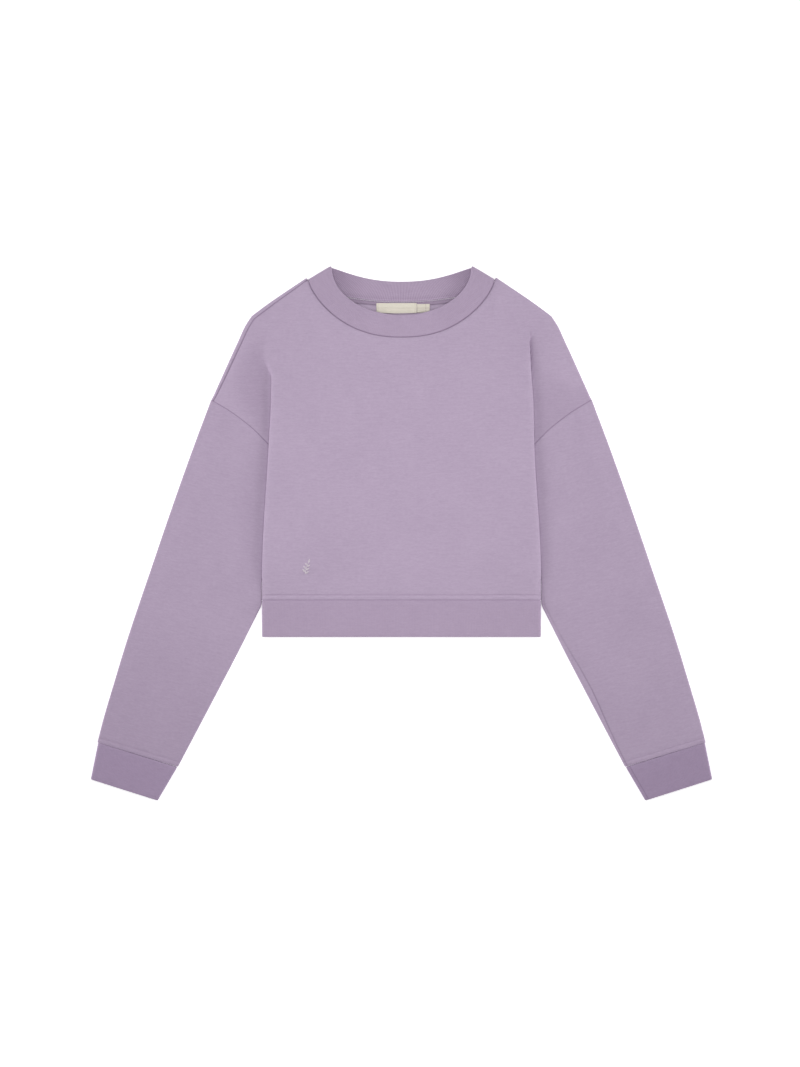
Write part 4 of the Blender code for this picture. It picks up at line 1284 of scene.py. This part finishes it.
def sleeveSurface(side):
    # rings of the middle of the cloth from the armhole to the cuff, and how far down each one is
    inner, outer = roundedLine(sleeveInner), roundedLine(sleeveOuter)
    length = walked(inner)[-1]
    shares = steppedLength(length, sleeve["step"], nearSeam["underarm"], nearSeam["cuff"]) / length
    inner, outer = spacedLine(inner, shares), spacedLine(outer, shares)
    hole = movedLine(armholeLine, -sleeve["clear"])
    hole[0] = outer[0] + (hole[0] - armholeLine[0])
    outer[0] = hole[0]
    hole[-1] = mix(hole[-1], hole[-4], sleeve["underarmClear"] / np.linalg.norm(hole[-1] - hole[-4]))
    inner[0] = hole[-1]
    across = np.linspace(0, 1, sleeve["across"] + 1)
    cuffSeam = mix(outer[-1], inner[-1], across[:, None])
    rings = []
    for row in fourSided(spacedLine(hole, across), cuffSeam, outer, inner, across, shares):
        # leave room for the folds at both ends
        insets = [(frontLevel(side, *row[end]) - backLevel(side, *row[end]) + cloth["jersey"]) / 2
                  for end in (0, -1)]
        width = walked(row)[-1]
        inset = max(sleeve["leastInset"], float(underarmSeam(row[-1][1])[0]) - insets[1])
        row = spacedLine(row, mix(insets[0] / width, 1 - insets[1] / width, acrossShares(inset, width)))
        lower = backLevel(side, row[:, 0], row[:, 1])
        upper = frontLevel(side, row[:, 0], row[:, 1]) + puffAt(side, row[:, 0], row[:, 1])
        rings.append(flatRing(row, lower, upper, sleeve["arc"]))
    middle = np.swapaxes(np.array(rings), 0, 1)
    middle[..., 0] *= side
    return middle, shares


def makeSleeve(name, side, material):
    middle, shares = sleeveSurface(side)
    normal = outwardNormals(middle)
    fromTop = walked(middle, axis=1)
    fromCuff = fromTop[:, -1:] - fromTop
    drop = np.maximum(sleeve["topRoll"] * rollAt(fromTop), sleeve["cuffRoll"] * rollAt(fromCuff))
    drop += stitchedDrop(fromCuff, sleeve["groove"])
    # painted shade in the armhole seam and the stitched groove, and painted light at the cuff seam
    shade = armholePaintedShade(np.abs(middle[..., 0])) * shadeAt(fromTop, armholeFade["shadeWidth"])
    shade += stitchedShade(fromCuff, sleeve["grooveShade"]) + paintedSeamShade["cuff"] * shadeAt(fromCuff)
    # the underarm seam's dent and painted shade, on the upper layer of the right sleeve and the lower one of
    # the left
    foldCount = sleeve["arc"] - 1
    count = (len(middle) - 2 * foldCount) // 2
    first = 0 if side == right else count + foldCount
    layer = slice(first, first + count)
    places = middle[layer][..., :2] * (side, 1)
    inset, dent, seamDark, seamWide = underarmSeam(places[..., 1])
    gap = distanceTo(places, innerEdge) - inset
    drop[layer] += dent * bump(gap, sleeve["dentWidth"])
    shade[layer] += seamDark * bump(gap, seamWide)
    # painted shade, darker towards the cuff
    cuffEnd = sleeve["cuffEnd"]
    shade += sleeve["paintedCuffEndShade"][side] * smoothStep((shares - cuffEnd["start"]) / cuffEnd["fade"])
    drop *= mix(sleeve["foldShare"], 1, np.abs(normal[..., 2]))
    middle = settled(middle - normal * drop[..., None])
    normal = outwardNormals(middle)
    points = wallLoop(middle, normal, np.full(middle.shape[:2], cloth["jersey"] / 2))
    keepAbove(points)
    # painted shadow beside the body's edge, on the upward faces only
    shade += foldShadow("sleeve", side, np.abs(middle[..., 0]), middle[..., 1]) * smoothStep(normal[..., 2])
    wallShade = np.concatenate([shade, 0 * shade], axis=1)
    obj = ringPiece(name, points, leaningFlat(middle, side), np.clip(wallShade, leastShade, 1))
    finishShading(obj, material)
    panelRowsKept[name] = middle
    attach(obj, "root")
    return obj


sleeves = {}
for sideName, side in sides.items():
    obj = makeSleeve("sleeve_" + sideName + "_cloth", side, materials["shadedSleeveJersey"])
    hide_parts("sleeve_" + sideName)
    sleeves[side] = obj
print("sleeves made", len(sleeves[left].data.polygons))


rib = {"pitch": 0.0022, "height": 0.00016, "perRib": 5, "taper": 0.0028, "shade": 0.06, "wavePower": 0.7,
       "waveStart": 0.0025, "rim": 6}
cuff = {"outerTop": (0.4247, -0.2928), "innerTop": (0.3139, -0.3269),
        "outerEnd": (0.4350, -0.3440), "innerEnd": (0.3414, -0.3738),
        "rows": 12, "thin": 0.12, "swell": 0.0006, "swellStart": 0.2,
        # the left cuff is painted a little lighter and the right one a little darker; the seam stations get
        # painted shade
        "tone": {left: -0.03, right: 0.03}, "seamStations": 6, "paintedShade": (0.30, 0.50, 0.30)}
hem = {"out": 0.1952, "top": -0.0931, "bottom": -0.1449, "relax": 0.120, "rows": 13, "thin": 0.35,
       "ends": 0.0050, "endRadius": 0.0024}


def bandRows(length, rows):
    fine = np.array(nearSeam["band"]) / length
    return np.concatenate([fine, np.linspace(fine[-1], 1, rows - len(fine) + 1)[1:]])


def ribWave(stations, fromSeam):
    # 1 on top of a rib and 0 between two of them, level beside the seam
    wave = 0.5 + 0.5 * np.cos(2 * math.pi * np.arange(stations) / rib["perRib"])
    return (wave ** rib["wavePower"])[:, None] * smoothStep(fromSeam / rib["waveStart"])


def ribHalf(wave, fromSeam, thin):
    # half the band's thickness, thinner where it is sewn
    taper = 1 - thin * np.clip(1 - fromSeam / rib["taper"], 0, 1) ** 2
    return cloth["rib"] / 2 * taper - rib["height"] * (1 - wave)


def finishRib(name, points, flat, shade, material):
    obj = ringPiece(name, points, flat, np.clip(shade, leastShade, 1))
    finishShading(obj, material, 60)
    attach(obj, "root")
    return obj


def ribbedRing(name, rings, shareRows, length, tone, thin, material, seamAt=None, paintedEvenShade=0.0):
    middle = np.swapaxes(np.array(rings), 0, 1)
    normal = outwardNormals(middle)
    stations, rows = middle.shape[:2]
    fromSeam = shareRows * length
    wave = ribWave(stations, fromSeam)
    points = wallLoop(settled(middle), normal, ribHalf(wave, fromSeam, thin), rib["rim"])
    keepAbove(points)
    shade = np.zeros(points.shape[:2])
    # painted shade in the seam and between the ribs, and an even painted shade over the whole ring, negative
    # for painted light
    shade[:, :rows] = tone * shadeAt(fromSeam) + rib["shade"] * (1 - wave) + paintedEvenShade
    if seamAt is not None:
        shade[seamAt - 1:seamAt + 2, :rows] += np.array(cuff["paintedShade"])[:, None]
    return finishRib(name, points, ringFlat(settled(middle), points.shape[1]), shade, material)


def ringCount(width, arcLength):
    # whole ribs round the band
    ribs = int(round((2 * width + 2 * arcLength) / rib["pitch"]))
    arc = max(2, int(round(arcLength / rib["pitch"] * rib["perRib"])))
    total = ribs * rib["perRib"]
    across = (total - 2 * (arc - 1)) // 2
    arc = (total - 2 * across) // 2 + 1
    return across, arc


def makeCuff(name, side, material):
    inset = levels["ribGap"] / 2 + cloth["rib"] / 2
    outerTop, innerTop, outerEnd, innerEnd = (np.array(cuff[key]) for key in
                                              ("outerTop", "innerTop", "outerEnd", "innerEnd"))
    length = np.linalg.norm(outerEnd - outerTop)
    shares = bandRows(length, cuff["rows"])
    width = np.linalg.norm(innerTop - outerTop) - 2 * inset
    across, arc = ringCount(width, math.pi * levels["ribGap"] / 2)
    lower = np.full(across, levels["rib"])
    rings = []
    for v in shares:
        gone = v * (1 - cloth["rib"] / 2 / length)
        outer, inner = mix(outerTop, outerEnd, gone), mix(innerTop, innerEnd, gone)
        step = unit(inner - outer) * inset
        row = spacedLine(np.array([outer + step, inner - step]), np.linspace(0, 1, across))
        swell = np.sin(math.pi * np.linspace(0, 1, across))
        swell = swell * math.sin(math.pi * min(1, v + cuff["swellStart"]))
        upper = lower + levels["ribGap"] + cuff["swell"] * swell
        rings.append(flatRing(row, lower, upper, arc) * (side, 1, 1))
    # the cuff's own seam shows on the right one, as painted shade on a few stations
    seamAt = across - cuff["seamStations"] if side == right else None
    return ribbedRing(name, rings, shares, length, paintedSeamShade["cuff"], cuff["thin"], material, seamAt,
                      cuff["tone"][side])


cuffs = {}
for sideName, side in sides.items():
    cuffs[side] = makeCuff("cuff_" + sideName + "_rib", side, materials["shadedCuffRib"])
    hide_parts("cuff_" + sideName)
print("cuffs made", len(cuffs[left].data.polygons))


def makeHem(material):
    length = hem["top"] - hem["bottom"]
    shares = bandRows(length, hem["rows"])
    across, arc = ringCount(2 * (hem["out"] - hem["ends"]), math.pi * hem["endRadius"])
    lower = np.full(across, levels["rib"])
    rings = []
    for v in shares:
        up = mix(hem["top"], hem["bottom"] + cloth["rib"] / 2, v)
        corner = mix(levels["hemCorner"], levels["rib"] + levels["ribGap"], smoothStep(v))
        edge = hem["out"] - cloth["rib"] / 2 - (corner - levels["rib"]) / 2
        outs = np.linspace(-edge, edge, across)
        centre = mix(levels["centre"], levels["rib"] + levels["ribGap"], v)
        upper = mix(corner, centre, smoothStep((edge - np.abs(outs)) / hem["relax"]))
        row = np.column_stack([outs, np.full(across, up)])
        rings.append(flatRing(row, lower, upper, arc))
    return ribbedRing("hem_band_rib", rings, shares, length, paintedSeamShade["hem"], hem["thin"], material)


hemBand = makeHem(materials["hemRib"])
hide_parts("hem_band")
print("hem made", len(hemBand.data.polygons))


neckBand = {"turn": 14, "clear": 0.0005, "dome": 0.0005, "lift": 0.0030, "rim": 7, "across": 14, "thin": 0.40,
            "seamWidth": 0.0016, "samples": 900}
# painted light and shade on the band: the inside of the back is painted darker, as in the shade of the front,
# with a painted light line along its seam
neckPaintedShade = {"innerRib": 0.55, "seamLight": 0.20, "seamLightAt": 0.0014, "seamLightWidth": 0.0010,
            "inner": 0.09, "low": 0.16, "lowStart": (0.0022, 0.0008), "lowEnd": (0.0040, 0.0035),
            "corner": 0.22, "cornerStart": (0.35, 0.60), "side": 0.06, "sideStart": (0.30, 0.30)}


def neckFace(face):
    # outer and inner points from the centre to the shoulder, evenly spaced along the band
    angles = np.linspace(0, math.pi / 2, neckBand["samples"])
    outer, inner = (np.array([neckPoint(face + line, angle) for angle in angles])
                    for line in ("Seam", "Edge"))
    length = walked((outer + inner) / 2)
    count = int(round(length[-1] / rib["pitch"])) * rib["perRib"]
    wanted = np.linspace(0, length[-1], count + 1)
    return [readAt(wanted, length, line) for line in (movedLine(outer, -neckBand["clear"]), inner)]


def neckStations():
    # outer and inner places and the way out of the cloth, once round the neck from the centre front
    radius = (levels["neckFront"] - levels["rib"]) / 2
    middleLevel = (levels["neckFront"] + levels["rib"]) / 2
    front, back = neckFace("front"), neckFace("back")
    turnOuter, turnInner = front[0][-1], front[1][-1]
    fold = unit(turnOuter - turnInner)
    away = np.array([-fold[1], fold[0]])
    stations = []

    def lay(face, picked, side, level, up):
        outer, inner = (line[picked] * (side, 1) for line in face)
        stations.extend((*a, level, *b, level + neckBand["lift"] * (up > 0), 0.0, 0.0, up)
                        for a, b in zip(outer, inner))

    def turn(side, swing):
        for step in range(1, neckBand["turn"]):
            angle = math.pi * step / neckBand["turn"]
            shift = away * radius * math.sin(angle)
            level = middleLevel + swing * radius * math.cos(angle)
            raised = neckBand["lift"] * (1 + math.cos(angle) * swing) / 2
            stations.append((*((turnOuter + shift) * (side, 1)), level,
                             *((turnInner + shift) * (side, 1)), level + raised,
                             *(away * (side, 1) * math.sin(angle)), swing * math.cos(angle)))

    lay(front, slice(None), 1, levels["neckFront"], 1.0)
    turn(right, 1)
    lay(back, slice(None, None, -1), 1, levels["rib"], -1.0)
    lay(back, slice(1, None), -1, levels["rib"], -1.0)
    turn(left, -1)
    lay(front, slice(None, 0, -1), -1, levels["neckFront"], 1.0)
    return np.split(np.array(stations), 3, axis=1)


def neckShade(depth, upward, aside, wave):
    def grows(value, name):
        start, fade = neckPaintedShade[name]
        return smoothStep((value - start) / fade)

    # painted shade between the ribs, in the hollow of the back and its corners, a painted light line at the
    # back seam, and a darker front towards its ends
    behind = smoothStep(0.5 - upward)
    ribDark = mix(rib["shade"], neckPaintedShade["innerRib"], behind)
    light = neckPaintedShade["seamLight"] * bump(depth - neckPaintedShade["seamLightAt"], neckPaintedShade["seamLightWidth"])
    shade = mix(paintedSeamShade["neck"] * shadeAt(depth, neckBand["seamWidth"]), -light, behind)
    shade = shade + ribDark * (1 - wave) - 0.5 * (ribDark - rib["shade"])
    low = neckPaintedShade["low"] * grows(depth, "lowStart") * (1 - grows(depth, "lowEnd"))
    hollow = neckPaintedShade["inner"] + low + neckPaintedShade["corner"] * grows(aside, "cornerStart")
    return shade + np.where(upward < 0.5, hollow, neckPaintedShade["side"] * grows(aside, "sideStart"))


def makeNeckBand(material):
    outers, inners, facings = neckStations()
    width = np.linalg.norm(inners - outers, axis=1)[:, None]
    across = (inners - outers) / width
    seamPart = np.tile(nearSeam["band"], (len(outers), 1))
    reach = width - cloth["rib"] / 2
    shares = np.linspace(0, 1, neckBand["across"] - seamPart.shape[1] + 2)[1:]
    depth = np.concatenate([seamPart, mix(seamPart[:, -1:], reach, shares)], axis=1)
    middle = outers[:, None] + across[:, None] * depth[..., None]
    normal = np.repeat(facings[:, None], depth.shape[1], axis=1)
    upward = facings[:, 2:3]
    dome = neckBand["dome"] * np.sin(math.pi * depth / reach) * np.maximum(upward, 0)
    middle = settled(middle + normal * dome[..., None])
    wave = ribWave(len(outers), depth)
    points = wallLoop(middle, normal, ribHalf(wave, depth, neckBand["thin"]), neckBand["rim"])
    keepAbove(points)
    face = neckShade(depth, upward, np.abs(outers[:, :1]) / neckLines["backSeam"][0], wave)
    rows = middle.shape[1]
    shade = np.zeros(points.shape[:2])
    shade[:, :rows] = face
    shade[:, -rows:] = face[:, ::-1]
    obj = finishRib("neck_band_rib", points, ringFlat(middle, points.shape[1]), shade, material)
    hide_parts("neck_band")
    return obj


neckRib = makeNeckBand(materials["neckRib"])
print("neckband made", len(neckRib.data.polygons))


tape = {"halfLength": 0.110, "width": 0.0045, "thickness": 0.0010, "belowSeam": 0.0013, "columns": 120,
        "shares": (0, .1, .17, .24, .4, .6, .76, .83, .9, 1), "stitched": (0.17, 0.83),
        "dome": 0.00015, "groove": 0.00020, "grooveWidth": 0.06,
        "upperShade": 0.20, "upperWidth": 0.22, "lowerShade": 0.40, "lowerWidth": 0.20}
labels = {
    "neck_label": {"left": -0.0351, "right": 0.0212, "top": 0.3226, "bottom": 0.3084, "thickness": 0.0010,
                   "columns": 41, "lines": (0.0024, 0.0539), "lineShade": 0.16, "shade": 0.0},
    "size_tab": {"left": 0.0216, "right": 0.0396, "top": 0.3214, "bottom": 0.3092, "thickness": 0.0010,
                 "columns": 21, "lines": (0.0122,), "lineShade": 0.28, "shade": 0.05},
}
labelLines = {"width": 0.00045, "beside": (-0.0006, -0.0002, 0.0002, 0.0006)}
labelShape = {
    "rows": 19, "onTape": 0.3172, "onBack": 0.3145,
    "sway": 0.00025, "swayTurns": 1.3, "swayStart": 0.6,      # the free lower edge waves a little
    "lift": 0.0005, "liftTurns": 1.1,
    "turned": 0.00035, "turnedEnd": 0.004, "turnedFade": 0.002,
    "folded": 0.00030, "foldedFrom": 0.60, "foldedFade": 0.06,
}


softEdge = {"width": 0.00025, "segments": 2, "angle": 60}


def slab(name, points, flat, shade, thickness, material):
    # a thin laid piece: a grid with a wall and softened edges
    obj = gridPiece(name, points, flat, shade)
    giveThickness(obj, thickness)
    edge = obj.modifiers.new("softEdge", "BEVEL")
    edge.width = softEdge["width"]
    edge.segments = softEdge["segments"]
    edge.limit_method = "ANGLE"
    edge.angle_limit = math.radians(softEdge["angle"])
    bpy.ops.object.modifier_apply(modifier=edge.name)
    turnOutwards(obj)
    finishShading(obj, material)
    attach(obj, "root")
    return obj


def makeTape(material):
    half = neckLines["backSeam"][0]
    level = cloth["jersey"] + cloth["seamGap"] + tape["thickness"] / 2
    outs = np.linspace(-tape["halfLength"], tape["halfLength"], tape["columns"] + 1)
    ups = np.array([neckPoint("backSeam", math.asin(abs(out) / half))[1] for out in outs])
    shares = np.array(tape["shares"])[:, None]
    grooves = sum(bump(shares - stitched, tape["grooveWidth"]) for stitched in tape["stitched"])
    points = np.zeros((len(shares), len(outs), 3))
    points[..., 0] = outs
    points[..., 1] = ups - tape["belowSeam"] - shares * tape["width"]
    points[..., 2] = level + tape["dome"] * (1 - (2 * shares - 1) ** 2) - tape["groove"] * grooves
    # painted shade along the tape's upper and lower edges
    shade = tape["upperShade"] * bump(shares, tape["upperWidth"])
    shade = np.repeat(shade + tape["lowerShade"] * bump(1 - shares, tape["lowerWidth"]), len(outs), axis=1)
    points = points[::-1]
    flat = points[..., :2].copy()
    obj = slab("neck_tape_cloth", points, flat, shade[::-1], tape["thickness"], material)
    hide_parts("neck_tape")
    return obj, outs, ups, level


def makeLabel(name, spec, material):
    shape = labelShape
    low = cloth["jersey"] + cloth["seamGap"] + spec["thickness"] / 2
    high = low + tape["thickness"] + cloth["seamGap"]
    ups = np.linspace(spec["top"], spec["bottom"], shape["rows"])[:, None]
    lines = [spec["left"] + away for away in spec["lines"]]
    outs = np.linspace(spec["left"], spec["right"], spec["columns"])
    outs = np.sort(np.concatenate([outs, [line + shift for line in lines for shift in labelLines["beside"]]]))
    width = spec["right"] - spec["left"]
    share = (outs - spec["left"]) / width
    step = smoothStep((shape["onTape"] - ups) / (shape["onTape"] - shape["onBack"]))
    fall = (ups[0] - ups) / (ups[0] - ups[-1])
    points = np.zeros((len(ups), len(outs), 3))
    points[..., 0] = outs
    sway = np.sin(2 * math.pi * share * shape["swayTurns"] + shape["swayStart"])
    points[..., 1] = ups + fall * shape["sway"] * sway
    lifted = shape["lift"] * fall ** 2 * (1 + np.sin(2 * math.pi * share * shape["liftTurns"]))
    points[..., 2] = mix(high, low, step) + lifted
    if name == "neck_label":
        # the ends are turned under and stand a little proud
        end = np.minimum(share, 1 - share) * width
        points[..., 2] += shape["turned"] * (1 - smoothStep((end - shape["turnedEnd"]) / shape["turnedFade"]))
    else:
        # folded over once near its outer end
        points[..., 2] += shape["folded"] * smoothStep((share - shape["foldedFrom"]) / shape["foldedFade"])
    # painted shade along the folds: the label's turned-under ends and the tab's fold; the tab is a little
    # darker all over
    marked = sum(spec["lineShade"] * bump(outs - line, labelLines["width"]) for line in lines) + spec["shade"]
    shade = np.tile(marked, (len(ups), 1))
    points = points[::-1]
    flat = points[..., :2].copy()
    obj = slab(name + "_cloth", points, flat, shade, spec["thickness"], material)
    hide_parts(name)
    return obj


neckTape, tapeOuts, tapeUps, tapeLevel = makeTape(materials["tape"])
neckLabels = {name: makeLabel(name, spec, materials["label"]) for name, spec in labels.items()}
print("tape and labels made")


# stitches: how long, how far apart and how thick each kind is, and how one dips into the cloth
stitch = {
    "thread": {"length": 0.0024, "pitch": 0.0031, "radius": 0.00021},
    "tape": {"length": 0.0020, "pitch": 0.0026, "radius": 0.00014},
    "label": {"length": 0.0015, "pitch": 0.0019, "radius": 0.00012},
    "sides": 6, "bend": 0.22, "thinFrom": 0.4, "thinEnd": 0.45, "sink": 1.4,
    "stand": 0.35, "look": 0.001, "twist": 3,
}


def stitchModel(length, radius):
    # one stitch: a short thread that dips at both ends
    bpy.ops.mesh.primitive_cylinder_add(vertices=stitch["sides"], radius=radius, depth=length,
                                        end_fill_type="TRIFAN")
    obj = bpy.context.object
    editMesh(obj, *(lambda place=place: bpy.ops.mesh.bisect(plane_co=(0, 0, place), plane_no=(0, 0, 1))
                    for place in (length * stitch["bend"], -length * stitch["bend"])))
    mesh = obj.data
    along, across, out = (readPoints(mesh) + np.array(obj.location))[:, (2, 0, 1)].T
    share = np.abs(along) / (length / 2)
    thin = mix(1.0, stitch["thinEnd"], smoothStep((share - stitch["thinFrom"]) / (1 - stitch["thinFrom"])))
    # the thread runs along x, y across and z up out of the cloth
    model = np.column_stack([along, across * thin, out * thin - radius * stitch["sink"] * share ** 3])
    faces = [tuple(polygon.vertices) for polygon in mesh.polygons]
    bpy.data.objects.remove(obj, do_unlink=True)
    return model, faces


def threadPiece(name, copies, faces, flats, material):
    # one mesh of all the copies of a stitch
    mesh = bpy.data.meshes.new(name)
    every = [tuple(k * len(copies[0]) + v for v in face) for k in range(len(copies)) for face in faces]
    places = np.concatenate(copies)
    mesh.from_pydata(places.tolist(), [], every)
    obj = bpy.data.objects.new(name, mesh)
    bpy.context.scene.collection.objects.link(obj)
    finishPoints(obj, places, np.concatenate(flats), np.zeros(len(places)))
    editMesh(obj, faceOut)
    finishShading(obj, material, 60)
    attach(obj, "root")
    return obj


def sewRow(name, runs, material, size="thread"):
    # copies of the one stitch along lines of (place, outward normal)
    length, pitch, radius = stitch[size].values()
    model, faces = stitchModel(length, radius)
    copies, flats = [], []
    for line, normals in runs:
        gone = walked(line)
        count = max(1, int(gone[-1] / pitch))
        for k in range(count):
            at = (k + 0.5) * gone[-1] / count
            up = unit(readAt(at, gone, normals))
            ahead = readAt(min(at + stitch["look"], gone[-1]), gone, line)
            along = ahead - readAt(max(at - stitch["look"], 0), gone, line)
            along = unit(along - up * (along @ up))
            place = readAt(at, gone, line) + model[:, :1] * along
            copies.append(place + model[:, 1:2] * np.cross(up, along) + model[:, 2:] * up)
            flats.append(np.column_stack([model[:, 0] + at, model[:, 1] * stitch["twist"] + model[:, 2]]))
    return threadPiece(name, copies, faces, flats, material)


def faced(line, face=1.0):
    # a line on level cloth, with the way out of the cloth at each point
    line = np.array(line)
    return line, np.tile((0.0, 0.0, float(face)), (len(line), 1))


def bedded(line, normals):
    # stitches lie partly sunk in the face of the cloth, and never below the floor
    radius = stitch["thread"]["radius"]
    line = line + normals * (cloth["jersey"] / 2 + radius * stitch["stand"])
    keepAbove(line, radius)
    return line, normals


hemSewing = {"ends": 0.004, "layer": 0.004, "under": 0.003}


def hemRun(name, face):
    # the row of the panel at the stitches, without its folds
    grid = panelRowsKept[name]
    row = int(np.argmin(np.abs(grid[:, grid.shape[1] // 2, 1] - (hemUp + stitching["fromSeam"]))))
    line = grid[row]
    level = line[:, 2]
    onLayer = level > np.median(level) - hemSewing["layer"] if face > 0 else level < hemSewing["under"]
    line = line[(np.abs(line[:, 0]) < hem["out"] - hemSewing["ends"]) & onLayer]
    return bedded(*faced(line[np.argsort(line[:, 0])], face))


def cuffRun(name):
    # the ring of the sleeve at the stitches
    middle = panelRowsKept[name]
    fromTop = walked(middle, axis=1)
    fromCuff = (fromTop[:, -1:] - fromTop).mean(axis=0)
    column = int(np.argmin(np.abs(fromCuff - stitching["fromSeam"])))
    line, normals = (np.vstack([table[:, column], table[:1, column]])
                     for table in (middle, outwardNormals(middle)))
    return bedded(line, normals)


def tapeRun(share):
    # one of the two rows that hold the tape down
    ups = tapeUps - tape["belowSeam"] - share * tape["width"]
    return faced(np.column_stack([tapeOuts, ups, np.full(len(tapeOuts), tapeLevel + tape["thickness"] / 2)]))


labelSewing = {"in": 0.0022, "below": 0.0012, "above": 0.0004, "raised": 0.0003,
               "tabStart": 0.0015, "tabEnd": 0.0100, "tabBelow": 0.0011}


def labelRuns():
    # short rows that hold the label's ends down, and the tab's upper edge
    label, tab, spec = labels["neck_label"], labels["size_tab"], labelSewing
    top = cloth["jersey"] + cloth["seamGap"] * 2 + tape["thickness"] + label["thickness"]
    raised = top + spec["raised"]
    ends = (label["top"] - spec["below"], labelShape["onTape"] + spec["above"])
    places = (label["left"] + spec["in"], label["right"] - spec["in"])
    runs = [faced([(x, y, raised) for y in ends]) for x in places]
    runs.append(faced([(tab["left"] + spec[end], tab["top"] - spec["tabBelow"], top)
                       for end in ("tabStart", "tabEnd")]))
    return runs


thread, paleThread = materials["thread"], materials["paleThread"]
hemRuns = [hemRun("front_panel_cloth", 1), hemRun("back_panel_cloth", -1)]
hemStitches = sewRow("hem_stitches", hemRuns, thread)
for sideName, side in sides.items():
    run = cuffRun("sleeve_" + sideName + "_cloth")
    sewRow("cuff_stitches_" + sideName, [run], thread)
tapeStitches = sewRow("tape_stitches", [tapeRun(share) for share in tape["stitched"]], thread, "tape")
labelStitches = sewRow("label_stitches", labelRuns(), paleThread, "label")
print("stitches sewn")


sprig = {
    "x": -0.1317, "y": -0.0474, "stem": 0.0190, "lean": 0.0060, "curve": 1.6, "stemThreads": 8,
    "pairs": 3, "leaf": 0.0062, "smaller": 0.10, "apart": 0.0010, "turn": 0.15, "spread": 0.95,
    "tip": {"turn": 0.30, "size": 0.9},
    "leafThreads": 9, "leafEnds": (0.10, 0.95), "leafWidth": 0.24, "leafRound": 0.8, "slant": 0.14,
    "thread": 0.00034, "stand": 0.35, "arch": 0.8, "overlap": 1.04,
}


def surfaceLevel(name, x, y):
    grid = panelRowsKept[name].reshape(-1, 3)
    near = np.argsort(np.hypot(grid[:, 0] - x, grid[:, 1] - y))[:3]
    return float(grid[near, 2].mean()) + cloth["jersey"] / 2


def leafThreads(base, angle, length):
    # satin stitches from the leaf's edge to its mid rib
    along = np.array((math.cos(angle), math.sin(angle)))
    side = np.array((-along[1], along[0]))
    threads = []
    for t in np.linspace(*sprig["leafEnds"], sprig["leafThreads"]):
        width = length * sprig["leafWidth"] * math.sin(math.pi * t ** sprig["leafRound"])
        for hand in (-1, 1):
            tip = base + along * length * (t - sprig["slant"]) + side * hand * width
            threads.append((tip, base + along * length * t))
    return threads


def sprigThreads():
    # a leaning stem, its pairs of leaves and one leaf at the tip
    upright = math.pi / 2
    foot = np.array((sprig["x"], sprig["y"])) - np.array((sprig["lean"], sprig["stem"])) / 2
    stem = [foot + np.array((sprig["lean"] * t ** sprig["curve"], sprig["stem"] * t))
            for t in np.linspace(0, 1, sprig["stemThreads"] + 1)]
    threads = list(zip(stem, stem[1:]))
    for k in range(sprig["pairs"]):
        for hand in (-1, 1):
            start = stem[1 + 2 * k] - np.array((0.0, sprig["apart"] * hand))
            size = sprig["leaf"] * (1.0 - sprig["smaller"] * k)
            threads += leafThreads(start, upright - sprig["turn"] - hand * sprig["spread"], size)
    tip = sprig["tip"]
    return threads + leafThreads(stem[-2], upright - tip["turn"], sprig["leaf"] * tip["size"])


def makeSprig(name, material):
    # each thread arches over the cloth and sinks into it at both ends
    model, faces = stitchModel(1.0, 1.0)
    length, across, out = (model[:, k:k + 1] for k in range(3))
    radius, up = sprig["thread"], np.array((0.0, 0.0, 1.0))
    level = surfaceLevel("front_panel_cloth", sprig["x"], sprig["y"])
    share = 2 * np.abs(length)
    rise = radius * (sprig["stand"] + sprig["arch"] * (1 - share ** 2))
    tall = (out + stitch["sink"] * share ** 3) * radius
    copies, flats = [], []
    for ends in sprigThreads():
        a, b = (np.array((*end, level)) for end in ends)
        size = np.linalg.norm(b - a)
        along = (b - a) / size
        side = np.cross(up, along)
        lengthwise = length * size * sprig["overlap"] * along
        copies.append((a + b) / 2 + lengthwise + across * radius * side + (tall + rise) * up)
        flats.append(np.column_stack([length * size, across * radius]))
    return threadPiece(name, copies, faces, flats, material)


leafSprig = makeSprig("leaf_sprig", paleThread)
print("sprig embroidered")


def declareSheet(obj, flat):
    # prints the cloth's area and its flat size, which is the cut of what shows, all round on a tube, without
    # seam allowances
    clothArea = sum(polygon.area for polygon in obj.data.polygons) / 2
    print(obj.name, "area", round(clothArea, 5), "cut", flat, round(flat[0] * flat[1], 5))


declareSheet(frontPanel, (0.680, 0.455))
declareSheet(backPanel, (0.680, 0.455))
for side in (left, right):
    declareSheet(sleeves[side], (0.413, 0.505))
    declareSheet(cuffs[side], (0.235, 0.052))
declareSheet(hemBand, (0.781, 0.0518))
declareSheet(neckRib, (0.537, 0.0340))
declareSheet(neckTape, (0.220, 0.0100))
declareSheet(neckLabels["neck_label"], (0.0563, 0.0142))
declareSheet(neckLabels["size_tab"], (0.0180, 0.0122))
